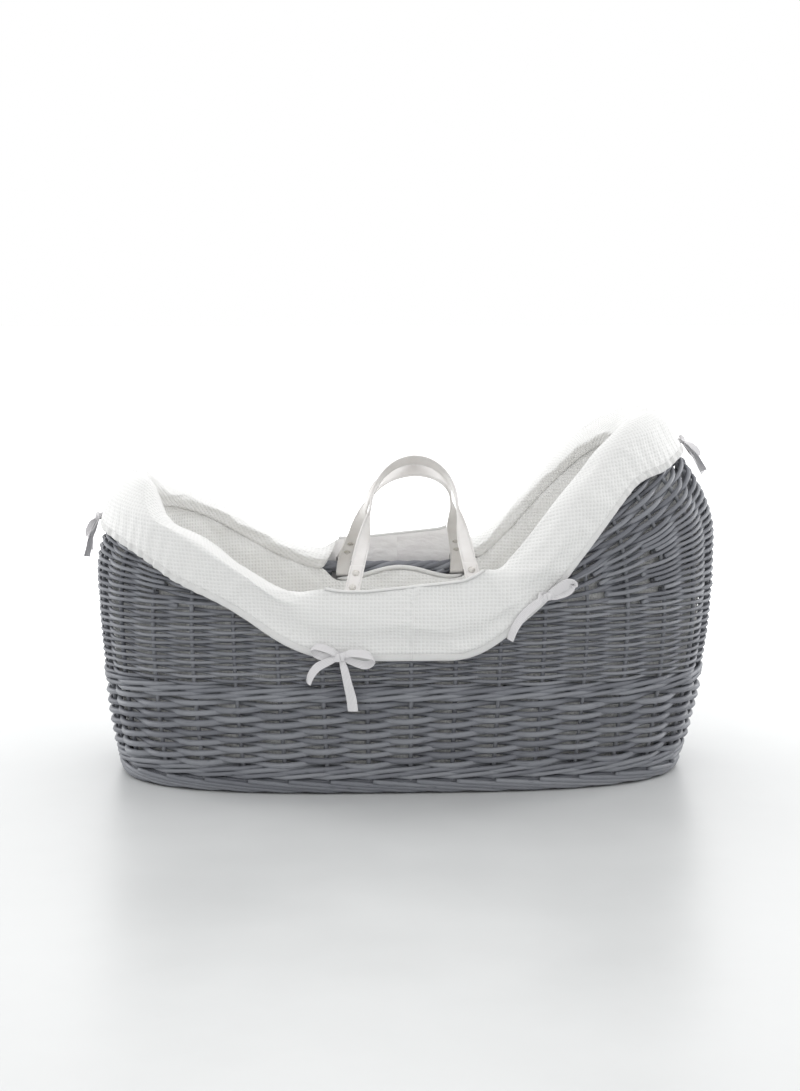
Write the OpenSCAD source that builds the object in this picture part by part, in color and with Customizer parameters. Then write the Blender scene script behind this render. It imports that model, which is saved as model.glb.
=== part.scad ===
// Woven willow moses basket: a boat-shaped wicker body with a high head end,
// a padded fabric liner rolled over the rim, two swinging strap handles and a
// lift-out mattress. Millimetres; +X is the head end, +Z is up, and the origin
// is on the floor under the middle of the overall length. The modules work from the
// basket's own middle, and place() moves it to the origin.

/* [Wicker body] */
// Reach of the base from the middle to the head end
head_base = 347; // [340:1:355]
// Reach of the base from the middle to the foot end
foot_base = 367; // [360:1:375]
// Half the width of the base
base_half = 168; // [164:1:174]
// How far the head end flares out above the base
head_flare = 42; // [34:1:48]
// How far the foot end flares out above the base
foot_flare = 28; // [20:1:34]
// How far each long side flares out above the base
side_flare = 16; // [12:1:20]
// Height at which the walls reach their full flare
flare_height = 260; // [240:5:280]
// Squareness of the base outline, 2 is an ellipse
base_power = 3; // [2.8:0.1:3.2]
// Squareness of the outline at full flare
rim_power = 2.6; // [2.5:0.1:2.8]
// Number of upright stakes
stakes = 36; // [36]
// Diameter of a stake
stake_d = 5.5; // [5:0.1:6]
// Thickness of the weave as a solid wall
weave_t = 4; // [3:0.5:5]

/* [Rim line] */
// Height of the rim along its low middle
rim_low = 228; // [222:1:234]
// Rise of the rim to the head end
head_rise = 205; // [190:1:210]
// Rise of the rim to the foot end
foot_rise = 117; // [105:1:122]
// Distance forward of the middle where the rise to the head starts
head_rise_from = 54; // [50:1:60]
// Length over which the rim rises to the head
head_rise_run = 254; // [245:1:262]
// Distance behind the middle where the rise to the foot starts
foot_rise_from = 78; // [72:1:84]
// Length over which the rim rises to the foot
foot_rise_run = 295; // [285:1:305]
// Thickness of the plaited rim border
border_d = 16; // [15:0.5:16.5]

/* [Liner] */
// How far the outer flap hangs below the rim
flap_drop = 50; // [45:1:54]
// Thickness of the padded lining wall
lining_t = 8; // [6:0.5:9]
// Height of the padded roll above the rim
roll_height = 25; // [22:1:27]
// How much of its height the roll loses on the far side
far_press = 0.5; // [0:0.05:0.6]
// How much of its height the roll loses on the foot end's near slope
slope_press = 0.68; // [0:0.01:0.7]
// How much taller the roll stands round the foot end
end_puff = 0.6; // [0:0.05:0.6]
// Half the length of each handle slit
slit_half = 96; // [94:1:100]
// How much further the near flap stands up beyond each end of the slit
near_stand = 18; // [16:1:22]
// How much taller the flap stands at the head end of a slit
slit_rise = 14; // [0:1:16]
// How much the lining's edge rises between the legs of a handle
slit_edge_rise = 15; // [0:1:16]

/* [Handles] */
// Place of the foot-end leg along the basket
leg_x_foot = -80; // [-82:1:-78]
// Place of the head-end leg along the basket
leg_x_head = 75; // [74:1:78]
// Width of the strap
strap_w = 18; // [16:1:19]
// Thickness of the strap
strap_t = 2.5; // [2:0.1:2.6]
// Distance from the rim to the top of the arch
arch_reach = 236; // [230:1:240]
// Half the width of the arch where it starts to round
arch_half = 54; // [50:1:58]
// Height of the rounded part of the arch
arch_rise = 76; // [70:1:80]
// Angle by which the far handle lies under the near one, in degrees
far_tuck = 4.6; // [4:0.1:5]
// Gap between the two handles where they meet
handle_gap = 1.6; // [1:0.1:3]
// Distance between the rivets of one leg
rivet_pitch = 21; // [18:1:22]
// Diameter of a rivet's domed cap
rivet_d = 9; // [8:0.5:10]

/* [Mattress] */
// Length of the mattress
mattress_l = 652; // [600:1:654]
// Width of the mattress
mattress_w = 280; // [260:1:282]
// Thickness of the mattress
mattress_h = 40; // [30:1:45]

/* [Hidden] */

WICKER = "slategray";
LINEN = "whitesmoke";
STRAP = "gainsboro";

stations = 2 * stakes;                // sections round the wall, one at and one between stakes
tuck_from = 295;                      // height above which the head end and the sides curl inwards
foot_tuck_from = 252;                 // height above which the foot end curls inwards
head_tuck = 0.0043;
foot_tuck = 0.0042;
side_tuck = 0.002;
mid_in = border_d / 2;                // the weave's middle lies this far inside the outer skin
border_w = 13;                        // how far the foot border reaches in from the skin
border_edge = 4;
border_top = 20;                      // heights of the woven zones
upset_top = 33;
lower_top = 118;
mid_top = 134;
base_z = 8;                           // underside of the woven floor
base_t = 8;
stick_d = 9;
stick_pitch = 52;
stick_count = 5;
notch_drop = 44;                      // depth of the weave's notch under a handle strap
lining_d = 16.8;                      // the lining's outer face lies this far inside the skin
liner_z = base_z + base_t + 1.2;      // underside of the liner's floor
liner_floor_t = 4;
lean_from = 215;                      // stakes lean towards the middle above this height
lean = 0.0000224;                     // lean in stake pitches per squared height
zone_gap = 0.3;                       // gap between two zones of weave
middle_x = 11;                        // the overall length's middle lies this far towards the foot end

// ---------------------------------------------------------------- wall surface

function clamp01(u) = min(1, max(0, u));
function ease(u) = (1 - cos(180 * clamp01(u))) / 2;
function mix(a, b, u) = a + (b - a) * u;
function unit(v) = v / norm(v);
function sq(v) = v * v;
function flared(z) = sin(90 * clamp01(z / flare_height));
function over(z, from) = sq(max(0, z - from));
function head_reach(z) = head_base + head_flare * flared(z) - head_tuck * over(z, tuck_from);
function foot_reach(z) = foot_base + foot_flare * flared(z) - foot_tuck * over(z, foot_tuck_from);
function half_width(z) = base_half + side_flare * flared(z) - side_tuck * over(z, tuck_from);
function power(z) = mix(base_power, rim_power, clamp01(z / flare_height));

// Point of the outer skin at a bearing and a height
function wall(phi, z) =
    let (a = cos(phi) > 0 ? head_reach(z) : foot_reach(z), b = half_width(z), n = power(z),
         r = pow(pow(abs(cos(phi)) / a, n) + pow(abs(sin(phi)) / b, n), -1 / n))
    [r * cos(phi), r * sin(phi), z];

function around(phi, z) = unit(wall(phi + 0.5, z) - wall(phi - 0.5, z));
function upward(phi, z) = unit(wall(phi, z + 1) - wall(phi, z - 1));
function outward(phi, z) = unit(cross(around(phi, z), upward(phi, z)));
function skin(phi, z, d) = wall(phi, z) + d * outward(phi, z);

// Bearing of a place counted in stake pitches from the head end
girth = [
    for (i = 0, s = 0; i <= 360; s = s + norm(wall(i + 1, lower_top) - wall(i, lower_top)), i = i + 1)
        [s, i]
];
girth_length = girth[360][0];
function wrap(u) = u - stakes * floor(u / stakes);
function bearing(u) = lookup(wrap(u) / stakes * girth_length, girth);

// ---------------------------------------------------------------- rim line

function rim_over(x) =
    rim_low + head_rise * ease((x - head_rise_from) / head_rise_run)
            + foot_rise * ease((-foot_rise_from - x) / foot_rise_run);
function rim_height(phi, z = 250, turns = 22) =
    turns == 0 ? z : rim_height(phi, (z + rim_over(wall(phi, z)[0])) / 2, turns - 1);

PHI = [for (i = [0 : stations - 1]) bearing(i / 2)];
RIM = [for (phi = PHI) rim_height(phi)];
RIM_P = [for (i = [0 : stations - 1]) wall(PHI[i], RIM[i])];
RIM_N = [for (i = [0 : stations - 1]) outward(PHI[i], RIM[i])];
RIM_T = [
    for (i = [0 : stations - 1])
        let (next = RIM_P[(i + 1) % stations], last = RIM_P[(i + stations - 1) % stations])
        unit(cross(RIM_N[i], next - last))
];

// Point near the rim: d outwards from the skin, h above the rim or down the wall
function by_rim(i, d, h) =
    let (q = RIM_P[i] + h * RIM_T[i])
    h >= 0 ? q + d * RIM_N[i] : skin(atan2(q[1], q[0]), q[2], d);

// Column of points on the wall from a height up to a distance below the rim
function column(i, z_low, drop, d, steps) =
    let (q = RIM_P[i] - drop * RIM_T[i], top = atan2(q[1], q[0]),
         phi = PHI[i] > 180 ? PHI[i] - 360 : PHI[i],
         turn = abs(top - phi) > 180 ? top + 360 : top)
    [for (j = [0 : steps]) skin(mix(phi, turn, j / steps), mix(z_low, q[2], j / steps), d)];

// ---------------------------------------------------------------- handle places

// Stations between two stakes that are nearest to the handle legs, on the near side
function nearest_gap(x, i = stakes + 1, best = stakes + 1) =
    i >= stations ? best : nearest_gap(x, i + 2, abs(RIM_P[i][0] - x) < abs(RIM_P[best][0] - x) ? i : best);
leg_foot = nearest_gap(leg_x_foot);
leg_head = nearest_gap(leg_x_head);
leg_stations = [leg_foot, leg_head, stations - leg_foot, stations - leg_head];
function is_leg(i) = len(search(i, leg_stations)) > 0;
slit_mid = (leg_x_foot + leg_x_head) / 2;
function in_slit(i) = abs(RIM_P[i][0] - slit_mid) < slit_half;
function stands(i) = abs(RIM_P[i][0] - slit_mid) < slit_half + (RIM_P[i][1] < 0 ? near_stand : 0);

// ---------------------------------------------------------------- mesh helpers

// Solid between stations, each a loop of k points; side faces only
function side_faces(n, k, closed) = [
    for (i = [0 : closed ? n - 1 : n - 2], j = [0 : k - 1])
        let (a = i * k + j, b = i * k + (j + 1) % k,
             c = ((i + 1) % n) * k + (j + 1) % k, d = ((i + 1) % n) * k + j)
        each [[a, b, c], [a, c, d]]
];

// Band with an outer and an inner grid of points, a row of them at each station
module band(outer, inner, closed = true) {
    n = len(outer);
    m = len(outer[0]);
    k = 2 * m;
    e = (n - 1) * k;
    points = [for (i = [0 : n - 1]) each concat(outer[i], [for (j = [m - 1 : -1 : 0]) inner[i][j]])];
    first = [for (j = [0 : m - 2]) each [[j, k - 1 - j, k - 2 - j], [j, k - 2 - j, j + 1]]];
    last = [for (j = [0 : m - 2]) each [[e + j, e + j + 1, e + k - 2 - j],
                                        [e + j, e + k - 2 - j, e + k - 1 - j]]];
    polyhedron(points, concat(side_faces(n, k, closed), closed ? [] : concat(first, last)));
}

// Tube through a list of loops, closed into a ring or capped by flat ends
module tube(loops, closed = false) {
    n = len(loops);
    k = len(loops[0]);
    e = (n - 1) * k;
    first = [for (j = [1 : k - 2]) [0, j + 1, j]];
    last = [for (j = [1 : k - 2]) [e, e + j, e + j + 1]];
    points = [for (loop = loops) each loop];
    polyhedron(points, concat(side_faces(n, k, closed), closed ? [] : concat(first, last)));
}

// ---------------------------------------------------------------- wicker

// Outline of the wall at one height, d outwards from the skin
module level_outline(z, d) {
    polygon([
        for (phi = PHI)
            let (p = wall(phi, z), t = around(phi, z), n = unit([t[1], -t[0]]))
            [p[0] + d * n[0], p[1] + d * n[1]]
    ]);
}

module base_stick(n) {
    y = (n - (stick_count + 1) / 2) * stick_pitch;
    reach = pow(1 - pow(abs(y) / (base_half - border_w - 4), base_power), 1 / base_power);
    color(WICKER) translate([-(foot_base - 16) * reach, y, base_z + base_t / 2]) rotate([0, 90, 0])
        cylinder(d = stick_d, h = (foot_base + head_base - 32) * reach, $fn = 32);
}

module base_weave() {
    color(WICKER) difference() {
        translate([0, 0, base_z]) linear_extrude(base_t) level_outline(0, -border_w - 0.3);
        for (n = [1 : stick_count]) base_stick(n);
    }
}

// Zone of weave between two heights
module woven_zone(z_low, z_high, steps, half) {
    rows = [for (i = [0 : stations - 1]) [for (j = [0 : steps]) mix(z_low, z_high, j / steps)]];
    color(WICKER) band([for (i = [0 : stations - 1]) [for (z = rows[i]) skin(PHI[i], z, half - mid_in)]],
                       [for (i = [0 : stations - 1]) [for (z = rows[i]) skin(PHI[i], z, -half - mid_in)]]);
}

// Roped border that the basket stands on: rings of three outlines
module border_ring(z_low, z_high, inset) {
    translate([0, 0, z_low]) linear_extrude(z_high - z_low) difference() {
        level_outline(z_high, -inset);
        level_outline(z_low, -border_w);
    }
}

module foot_border() {
    color(WICKER) {
        border_ring(0, border_edge, 2);
        border_ring(border_edge, border_top - border_edge, 0);
        border_ring(border_top - border_edge, border_top, 1.5);
    }
}

module upset_wale() { woven_zone(border_top + zone_gap, upset_top, 1, 5.5); }
module lower_weave() { woven_zone(upset_top + zone_gap, lower_top, 3, weave_t / 2); }
module mid_wale() { woven_zone(lower_top + zone_gap, mid_top, 1, 5); }

// The weave stops lower where a handle strap passes under the border
module upper_weave() {
    z_low = mid_top + zone_gap;
    drops = [for (i = [0 : stations - 1]) is_leg(i) ? notch_drop : border_d + 2];
    color(WICKER) band(
        [for (i = [0 : stations - 1]) column(i, z_low, drops[i], weave_t / 2 - mid_in, 6)],
        [for (i = [0 : stations - 1]) column(i, z_low, drops[i], -weave_t / 2 - mid_in, 6)]);
}

module rim_border() {
    r = border_d / 2;
    color(WICKER) tube([
        for (i = [0 : stations - 1])
            let (c = RIM_P[i] - r * RIM_N[i] - r * RIM_T[i])
            [for (a = [0 : 45 : 315]) c + r * (cos(a) * RIM_N[i] + sin(a) * RIM_T[i])]
    ], closed = true);
}

// Stakes lean away from both ends in the tall parts of the wall
function leaned(k, z) =
    let (end = k < stakes / 4 ? k : k < stakes * 3 / 4 ? k - stakes / 2 : k - stakes,
         share = min(1, max(-1, end / 3)))
    k + share * lean * sq(max(0, z - lean_from));
function stake_top(k, z = 240, turns = 14) =
    turns == 0 ? z : stake_top(k, (z + rim_height(bearing(leaned(k, z))) - border_d / 2) / 2, turns - 1);

module stake(k) {
    r = stake_d / 2;
    top = stake_top(k);
    tube([
        for (j = [0 : 7])
            let (z = mix(10, top, j / 7), phi = bearing(leaned(k, z)), c = skin(phi, z, -mid_in),
                 n = outward(phi, z), t = around(phi, z))
            [for (a = [0 : 60 : 300]) c + r * (cos(a) * n - sin(a) * t)]
    ]);
}

module stake_group(from, to) {
    color(WICKER) for (k = [from : to]) stake(wrap(k));
}

// ---------------------------------------------------------------- liner

module liner_floor() {
    color(LINEN) translate([0, 0, liner_z]) linear_extrude(liner_floor_t)
        level_outline(liner_z, -lining_d);
}

// The lining ends this far below the rim: lowest where a strap loops round the border
function lining_drop(i) = !in_slit(i) ? 14 :
    25 - slit_edge_rise * (1 + cos(180 * clamp01(abs(RIM_P[i][0] - slit_mid) / 80))) / 2;

module liner_wall() {
    z_low = liner_z + liner_floor_t + 0.3;
    color(LINEN) band(
        [for (i = [0 : stations - 1]) column(i, z_low, lining_drop(i), -lining_d, 6)],
        [for (i = [0 : stations - 1]) column(i, z_low, lining_drop(i), -lining_d - lining_t, 6)]);
}

function soft(t) = let (c = clamp01(t)) c * c * (3 - 2 * c);
function hem_drop(i) =
    let (x = RIM_P[i][0])
    flap_drop - 18 * (soft((x - 40) / 70) - soft((x - 235) / 50))
        - 13 * exp(-sq((x + 195) / 55)) - 12 * clamp01((abs(x) - 270) / 80);

// The roll keeps only part of its height on the far side and on the foot end's near slope,
// and stands higher round the foot end
function roll_kept(i) =
    let (x = RIM_P[i][0], y = RIM_P[i][1])
    (1 - far_press * soft(y / 120) * soft((abs(x) - 60) / 60)
       - slope_press * soft(-y / 120) * soft((-x - 100) / 50) * soft((x + 350) / 60))
    * (1 + end_puff * soft((-x - 300) / 50));

// In a slit the flap stands up outside the rim, and it stands taller towards the head end
function standing(i, points) =
    let (taller = 1 + slit_rise / 28.8 * clamp01((RIM_P[i][0] + 60) / 136))
    [for (p = points) [p[0], p[1] > 0 ? p[1] * taller : p[1]]];

// Roll over the rim: outer and inner face of the pad, as offsets from the rim
function roll_outer(i) = let (d = hem_drop(i)) stands(i) ?
    standing(i, [[8, -d], [12, -0.6 * d], [18, -0.3 * d], [19.5, 0], [18.8, 10], [17.4, 19], [15.8, 26],
                 [14.8, 28], [13.9, 28.8], [12.9, 28.4]]) :
    [for (p = [[8, -d], [11, -0.6 * d], [15, -0.3 * d], [17, 0], [13, 15], [3, roll_height - 1],
               [-9, roll_height], [-22, 18], [-28, 5], [-27, -12]])
        [p[0], p[1] > 0 ? p[1] * roll_kept(i) : p[1]]];
function roll_inner(i) = let (d = hem_drop(i)) stands(i) ?
    standing(i, [[1.2, -d], [3.5, -0.6 * d], [8, -0.3 * d], [9.2, 0], [9.7, 6], [10.2, 12], [10.7, 18],
                 [11, 22], [11.3, 25], [11.8, 27.3]]) :
    [[1.2, -d], [1.2, -0.6 * d], [1.2, -0.3 * d], [1.8, 0], [0.5, 1.8], [-3, 2], [-9, 2],
     [-14, 2], [-18, 0.5], [-18, -12]];

seam_far = stakes / 2;                // stations of the liner's two side seams
seam_near = stations - seam_far;

module flap(from, to) {
    list = [for (i = [from : to]) (i + stations) % stations];
    color(LINEN) band([for (i = list) [for (p = roll_outer(i)) by_rim(i, p[0], p[1])]],
                      [for (i = list) [for (p = roll_inner(i)) by_rim(i, p[0], p[1])]], closed = false);
}

module hem(from, to) {
    list = [for (i = [from : to]) (i + stations) % stations];
    color(LINEN) band([for (i = list) [by_rim(i, 8, -hem_drop(i) - 8), by_rim(i, 9, -hem_drop(i) - 0.2)]],
                      [for (i = list) [by_rim(i, 1.2, -hem_drop(i) - 8), by_rim(i, 1.2, -hem_drop(i) - 0.2)]],
                      closed = false);
}

// Binding on the lining's top edge behind a handle slit
module slit_binding(from, to) {
    color(LINEN) band(
        [for (i = [from : to]) let (h = 0.2 - lining_drop(i))
            [by_rim(i, -lining_d - 0.5, h), by_rim(i, -lining_d - 1, h + 4.3)]],
        [for (i = [from : to]) let (h = 0.2 - lining_drop(i))
            [by_rim(i, -lining_d - 7.5, h), by_rim(i, -lining_d - 7, h + 4.3)]],
        closed = false);
}

// ---------------------------------------------------------------- ties

tie_out = 10.5;                       // the ties lie this far outside the skin
tie_fall = 52;                        // height over which they follow the wall's slope

// Ribbon from one point to another, with round ends
module ribbon(from, to, width) {
    hull() {
        translate(from) circle(d = width, $fn = 24);
        translate(to) circle(d = width, $fn = 24);
    }
}

// Places a flat shape on the outside of the hem: x round the wall, y up along the wall
module on_hem(i) {
    p = by_rim(i, tie_out, -hem_drop(i));
    phi = atan2(p[1], p[0]);
    side = unit(around(phi, p[2]));
    y = unit(p - skin(phi, p[2] - tie_fall, tie_out));
    z = unit(cross(side, y));
    up = cross(z, side);
    multmatrix([[side[0], up[0], z[0], p[0]], [side[1], up[1], z[1], p[1]], [side[2], up[2], z[2], p[2]]])
        linear_extrude(4) children();
}

module bow() {
    circle(d = 15, $fn = 32);
    ribbon([0, 0], [-26, 4], 11);
    ribbon([0, 0], [30, -6], 11);
    ribbon([0, 0], [-30, -24], 10);
    ribbon([0, 0], [14, -56], 10);
}

module plain_tie() {
    circle(d = 13, $fn = 32);
    ribbon([0, 0], [24, 10], 11);
    ribbon([0, 0], [-34, -42], 10);
}

module end_tie() {
    ribbon([0, 0], [6, -52], 11);
    ribbon([0, 0], [-8, -46], 10);
}

module tie(i, flip, style) {
    color(STRAP) on_hem(i) mirror([flip ? 1 : 0, 0]) {
        if (style == "bow") bow();
        else if (style == "plain") plain_tie();
        else end_tie();
    }
}

// ---------------------------------------------------------------- handles

strap_loop_r = 13.3;                  // middle of the strap round the border
rivet_from = 42;                      // lowest rivet above the rim's middle
arch_shift = 9;                       // the arch's top leans this far to the head end
straighten = 20;                      // the legs run straight from here
arch_centre = arch_reach - arch_rise;
twist_from = 92;
twist_to = 155;
function border_mid(i) = RIM_P[i] - mid_in * (RIM_N[i] + RIM_T[i]);
function border_at(i, x) =
    let (a = border_mid(i), b = border_mid(x > a[0] ? i + 1 : i - 1))
    a + (b - a) * (x - a[0]) / (b[0] - a[0]);
leg_a = border_at(leg_foot, leg_x_foot);
leg_b = border_at(leg_head, leg_x_head);
pivot = (leg_a + leg_b) / 2;
pivot_axis = unit(leg_b - leg_a);
leg_half = norm(leg_b - leg_a) / 2;
meet_in = strap_w / 2 * 0.74 + handle_gap;
handle_lean = asin((-pivot[1] - meet_in) / arch_reach);
up_leg = [0, sin(handle_lean), cos(handle_lean)];
off_leg = [0, -cos(handle_lean), sin(handle_lean)];

function leg_x(s) = mix(leg_half, arch_half, clamp01((s - straighten) / (arch_centre - straighten)));
function arch_x(s) = arch_shift * clamp01(s / arch_reach);
function on_handle(x, s, w) = pivot + x * pivot_axis + s * up_leg + w * off_leg;

// One leg from its riveted tail round the border and up to the arch:
// [place along the axis, distance up, offset, twist of the width, angle round the border]
function leg_path(side) = concat(
    [for (p = [[75, 1.4], [42, 1.4], [28, 3.4]])
        [side * leg_x(p[0]) + arch_x(p[0]), p[0], p[1], 0, 0]],
    [for (a = [50 : 26 : 310]) [side * leg_half, strap_loop_r * cos(a), strap_loop_r * sin(a), 0, a - 90]],
    [for (p = [[28, -3.4], [42, -1.4], [84, -1.4], [twist_from, -1.4]])
        [side * leg_x(p[0]) + arch_x(p[0]), p[0], p[1], 0, 180]],
    [for (j = [1 : 5]) let (s = mix(twist_from, twist_to, j / 5))
        [side * leg_x(s) + arch_x(s), s, mix(-1.4, 0, j / 5), 90 * j / 5, 180]]);

// Corners of the strap's section: w along its width, t along its thickness
function strap_loop(c, w, t) = [c - w - t, c - w + t, c + w + t, c + w - t];

function leg_sections(side) = [
    for (p = leg_path(side))
        let (c = on_handle(p[0], p[1], p[2]), turn = p[3],
             face = p[4] == 0 ? off_leg : p[4] == 180 ? -off_leg : unit(p[1] * up_leg + p[2] * off_leg),
             width = side * cos(turn) * pivot_axis + sin(turn) * off_leg,
             thick = cos(turn) * face + side * sin(turn) * pivot_axis)
        strap_loop(c, strap_w / 2 * width, strap_t / 2 * thick)
];

function arch_sections() = [
    for (a = [170 : -10 : 10])
        let (s = arch_centre + arch_rise * sin(a),
             radial = unit(arch_rise * cos(a) * pivot_axis + arch_half * sin(a) * up_leg))
        strap_loop(on_handle(arch_half * cos(a) + arch_x(s), s, 0),
                   strap_w / 2 * off_leg, strap_t / 2 * radial)
];

module strap() {
    foot_leg = leg_sections(-1);
    head_leg = leg_sections(1);
    back = [for (i = [len(head_leg) - 1 : -1 : 0]) head_leg[i]];
    color(STRAP) tube(concat(foot_leg, arch_sections(), back));
}

module rivet(n) {
    side = n <= 2 ? -1 : 1;
    s = rivet_from + ((n - 1) % 2) * rivet_pitch;
    color("silver") translate(on_handle(side * leg_x(s) + arch_x(s), s, 0)) rotate([90 - handle_lean, 0, 0])
        rotate_extrude($fn = 32) polygon([[0, -5], [2.6, -4.6], [rivet_d / 2, -3], [rivet_d / 2, -2.7],
            [2, -2.7], [2, 2.7], [rivet_d / 2, 2.7], [rivet_d / 2, 3], [2.6, 4.6], [0, 5]]);
}

// The far handle mirrors the near one and lies a little lower, under it
module far_side() {
    mirror([0, 1, 0]) translate(pivot) rotate(a = -far_tuck, v = pivot_axis) translate(-pivot) children();
}

// ---------------------------------------------------------------- mattress

mattress_z = liner_z + liner_floor_t + 0.4;
mattress_mid = (head_base - foot_base) / 2;

module mattress_outline(inset) {
    a = mattress_l / 2 - inset;
    b = mattress_w / 2 - inset;
    polygon([for (t = [0 : 5 : 355])
        let (r = pow(pow(abs(cos(t)) / a, base_power) + pow(abs(sin(t)) / b, base_power), -1 / base_power))
        [mattress_mid + r * cos(t), r * sin(t)]]);
}

module mattress_core() {
    color("khaki") translate([0, 0, mattress_z + 2]) linear_extrude(mattress_h - 4) mattress_outline(2);
}

module mattress_cover() {
    color(LINEN) difference() {
        translate([0, 0, mattress_z]) linear_extrude(mattress_h) mattress_outline(0);
        translate([0, 0, mattress_z + 1.9]) linear_extrude(mattress_h - 3.8) mattress_outline(1.9);
    }
}

// ---------------------------------------------------------------- nodes

module place() { translate([middle_x, 0, 0]) children(); }

place() base_stick(1);  // base_stick_1
place() base_stick(2);  // base_stick_2
place() base_stick(3);  // base_stick_3
place() base_stick(4);  // base_stick_4
place() base_stick(5);  // base_stick_5
place() base_weave();
place() foot_border();
place() upset_wale();
place() lower_weave();
place() mid_wale();
place() upper_weave();
place() rim_border();
place() stake_group(-4, 4);  // stakes_head
place() stake_group(5, 13);  // stakes_far
place() stake_group(14, 22);  // stakes_foot
place() stake_group(23, 31);  // stakes_near
place() liner_floor();
place() liner_wall();
place() flap(seam_near - stations, seam_far);  // flap_head
place() flap(seam_far, seam_near);  // flap_foot
place() hem(seam_near - stations, seam_far);  // hem_head
place() hem(seam_far, seam_near);  // hem_foot
place() slit_binding(leg_foot, leg_head);  // slit_binding_near
place() slit_binding(stations - leg_head, stations - leg_foot);  // slit_binding_far
place() tie(leg_foot, false, "bow");  // tie_near_foot
place() tie(leg_head + 2, false, "plain");  // tie_near_head
place() tie(stations - leg_foot, true, "bow");  // tie_far_foot
place() tie(stations - leg_head - 2, true, "plain");  // tie_far_head
place() tie(0, false, "end");  // tie_head
place() tie(stakes, false, "end");  // tie_foot
place() strap();  // near_strap
place() rivet(1);  // near_rivet_1
place() rivet(2);  // near_rivet_2
place() rivet(3);  // near_rivet_3
place() rivet(4);  // near_rivet_4
place() far_side() strap();  // far_strap
place() far_side() rivet(1);  // far_rivet_1
place() far_side() rivet(2);  // far_rivet_2
place() far_side() rivet(3);  // far_rivet_3
place() far_side() rivet(4);  // far_rivet_4
place() mattress_core();
place() mattress_cover();
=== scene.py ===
"""Looks of the woven moses basket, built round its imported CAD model.

Shapes are worked out in millimetres from the basket's own middle, with the same
surface as the part's source, and put_mesh() moves them to the shared frame in metres.
"""

import math

import bpy
import numpy as np
from mathutils import Matrix, Vector


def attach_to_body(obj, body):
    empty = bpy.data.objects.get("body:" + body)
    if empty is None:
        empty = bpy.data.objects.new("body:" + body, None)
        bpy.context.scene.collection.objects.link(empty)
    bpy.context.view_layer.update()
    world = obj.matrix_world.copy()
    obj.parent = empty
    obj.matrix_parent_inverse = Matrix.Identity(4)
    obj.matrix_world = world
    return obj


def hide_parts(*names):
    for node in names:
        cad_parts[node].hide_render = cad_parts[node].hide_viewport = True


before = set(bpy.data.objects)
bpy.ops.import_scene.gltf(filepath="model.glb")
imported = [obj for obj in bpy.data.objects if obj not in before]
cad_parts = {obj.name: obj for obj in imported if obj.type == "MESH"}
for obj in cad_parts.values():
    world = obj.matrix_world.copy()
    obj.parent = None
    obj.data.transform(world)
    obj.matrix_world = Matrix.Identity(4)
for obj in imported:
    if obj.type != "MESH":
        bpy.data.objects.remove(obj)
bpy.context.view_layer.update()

# ---------------- sizes, millimetres

MM = 0.001
MIDDLE_X = 11  # the overall length's middle lies this far towards the foot end

HEAD_BASE, FOOT_BASE, BASE_HALF = 347, 367, 168
HEAD_FLARE, FOOT_FLARE, SIDE_FLARE = 42, 28, 16
HEAD_TUCK, FOOT_TUCK, SIDE_TUCK = 0.0043, 0.0042, 0.002
FLARE_HEIGHT, TUCK_FROM, FOOT_TUCK_FROM = 260, 295, 252
BASE_POWER, RIM_POWER = 3, 2.6
STAKES, STAKE_R = 36, 2.75
MID_IN = 8  # the weave's middle lies this far inside the outer skin
LEAN_FROM, LEAN = 215, 2.24e-5

RIM_LOW, HEAD_RISE, FOOT_RISE = 228, 205, 117
HEAD_RISE_FROM, HEAD_RISE_RUN = 54, 254
FOOT_RISE_FROM, FOOT_RISE_RUN = 78, 295
UPSET_TOP, LOWER_TOP, MID_TOP = 33, 118, 134

FLAP_DROP, SLIT_MID, SLIT_RISE, SLIT_EDGE_RISE = 50, -2.5, 14, 15
FAR_PRESS, SLOPE_PRESS, END_PUFF = 0.5, 0.68, 0.6
LEG_X_FOOT, LEG_X_HEAD = -80, 75
LINING_D, LINING_T = 16.8, 8
LINER_Z, LINER_FLOOR_T = 17.2, 4

STRAP_W, STRAP_T, STRAP_LOOP_R = 18, 2.5, 13.3
ARCH_REACH, ARCH_HALF, ARCH_RISE, ARCH_SHIFT, HANDLE_GAP = 236, 54, 76, 9, 1.6
STRAIGHTEN, TWIST_FROM, TWIST_TO, FAR_TUCK = 20, 92, 155, 4.6

MATTRESS_L, MATTRESS_W, MATTRESS_H = 652, 280, 40

PITCH_STEPS = 12  # sections of a rod for each stake pitch
LOWER_ROD, LOWER_PITCH = 3.8, 6.3  # radius of a rod and height of a row
UPPER_ROD, UPPER_PITCH = 2.1, 4.3
WEDGE_ROD, WEDGE_PITCH = 2.5, 5.2
END_ROD, END_PITCH = 3.0, 6.3
WALE_ROD, BASE_ROD, RIM_ROD, FOOT_ROD, FOOT_CORE_ROD = 3.0, 2.4, 3.9, 3.3, 3.8


# ---------------- wall surface


def unit(v):
    return v / np.linalg.norm(v, axis=-1, keepdims=True)


def mix(a, b, t):
    return a + (b - a) * t


def smooth(t):
    t = np.clip(t, 0, 1)
    return t * t * (3 - 2 * t)


def ease(t):
    return (1 - np.cos(np.pi * np.clip(t, 0, 1))) / 2


def run_along(points):
    """Distance travelled at each point of a path."""
    return np.append(0, np.cumsum(np.linalg.norm(np.diff(points, axis=0), axis=1)))


def round_ring(turn, first, second):
    """Directions round each point of a path, turned from its first way to its second."""
    return np.cos(turn)[None, :, None] * first[:, None] + np.sin(turn)[None, :, None] * second[:, None]


def shifted(faces, count):
    return [[v + count for v in face] for face in faces]


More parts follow.
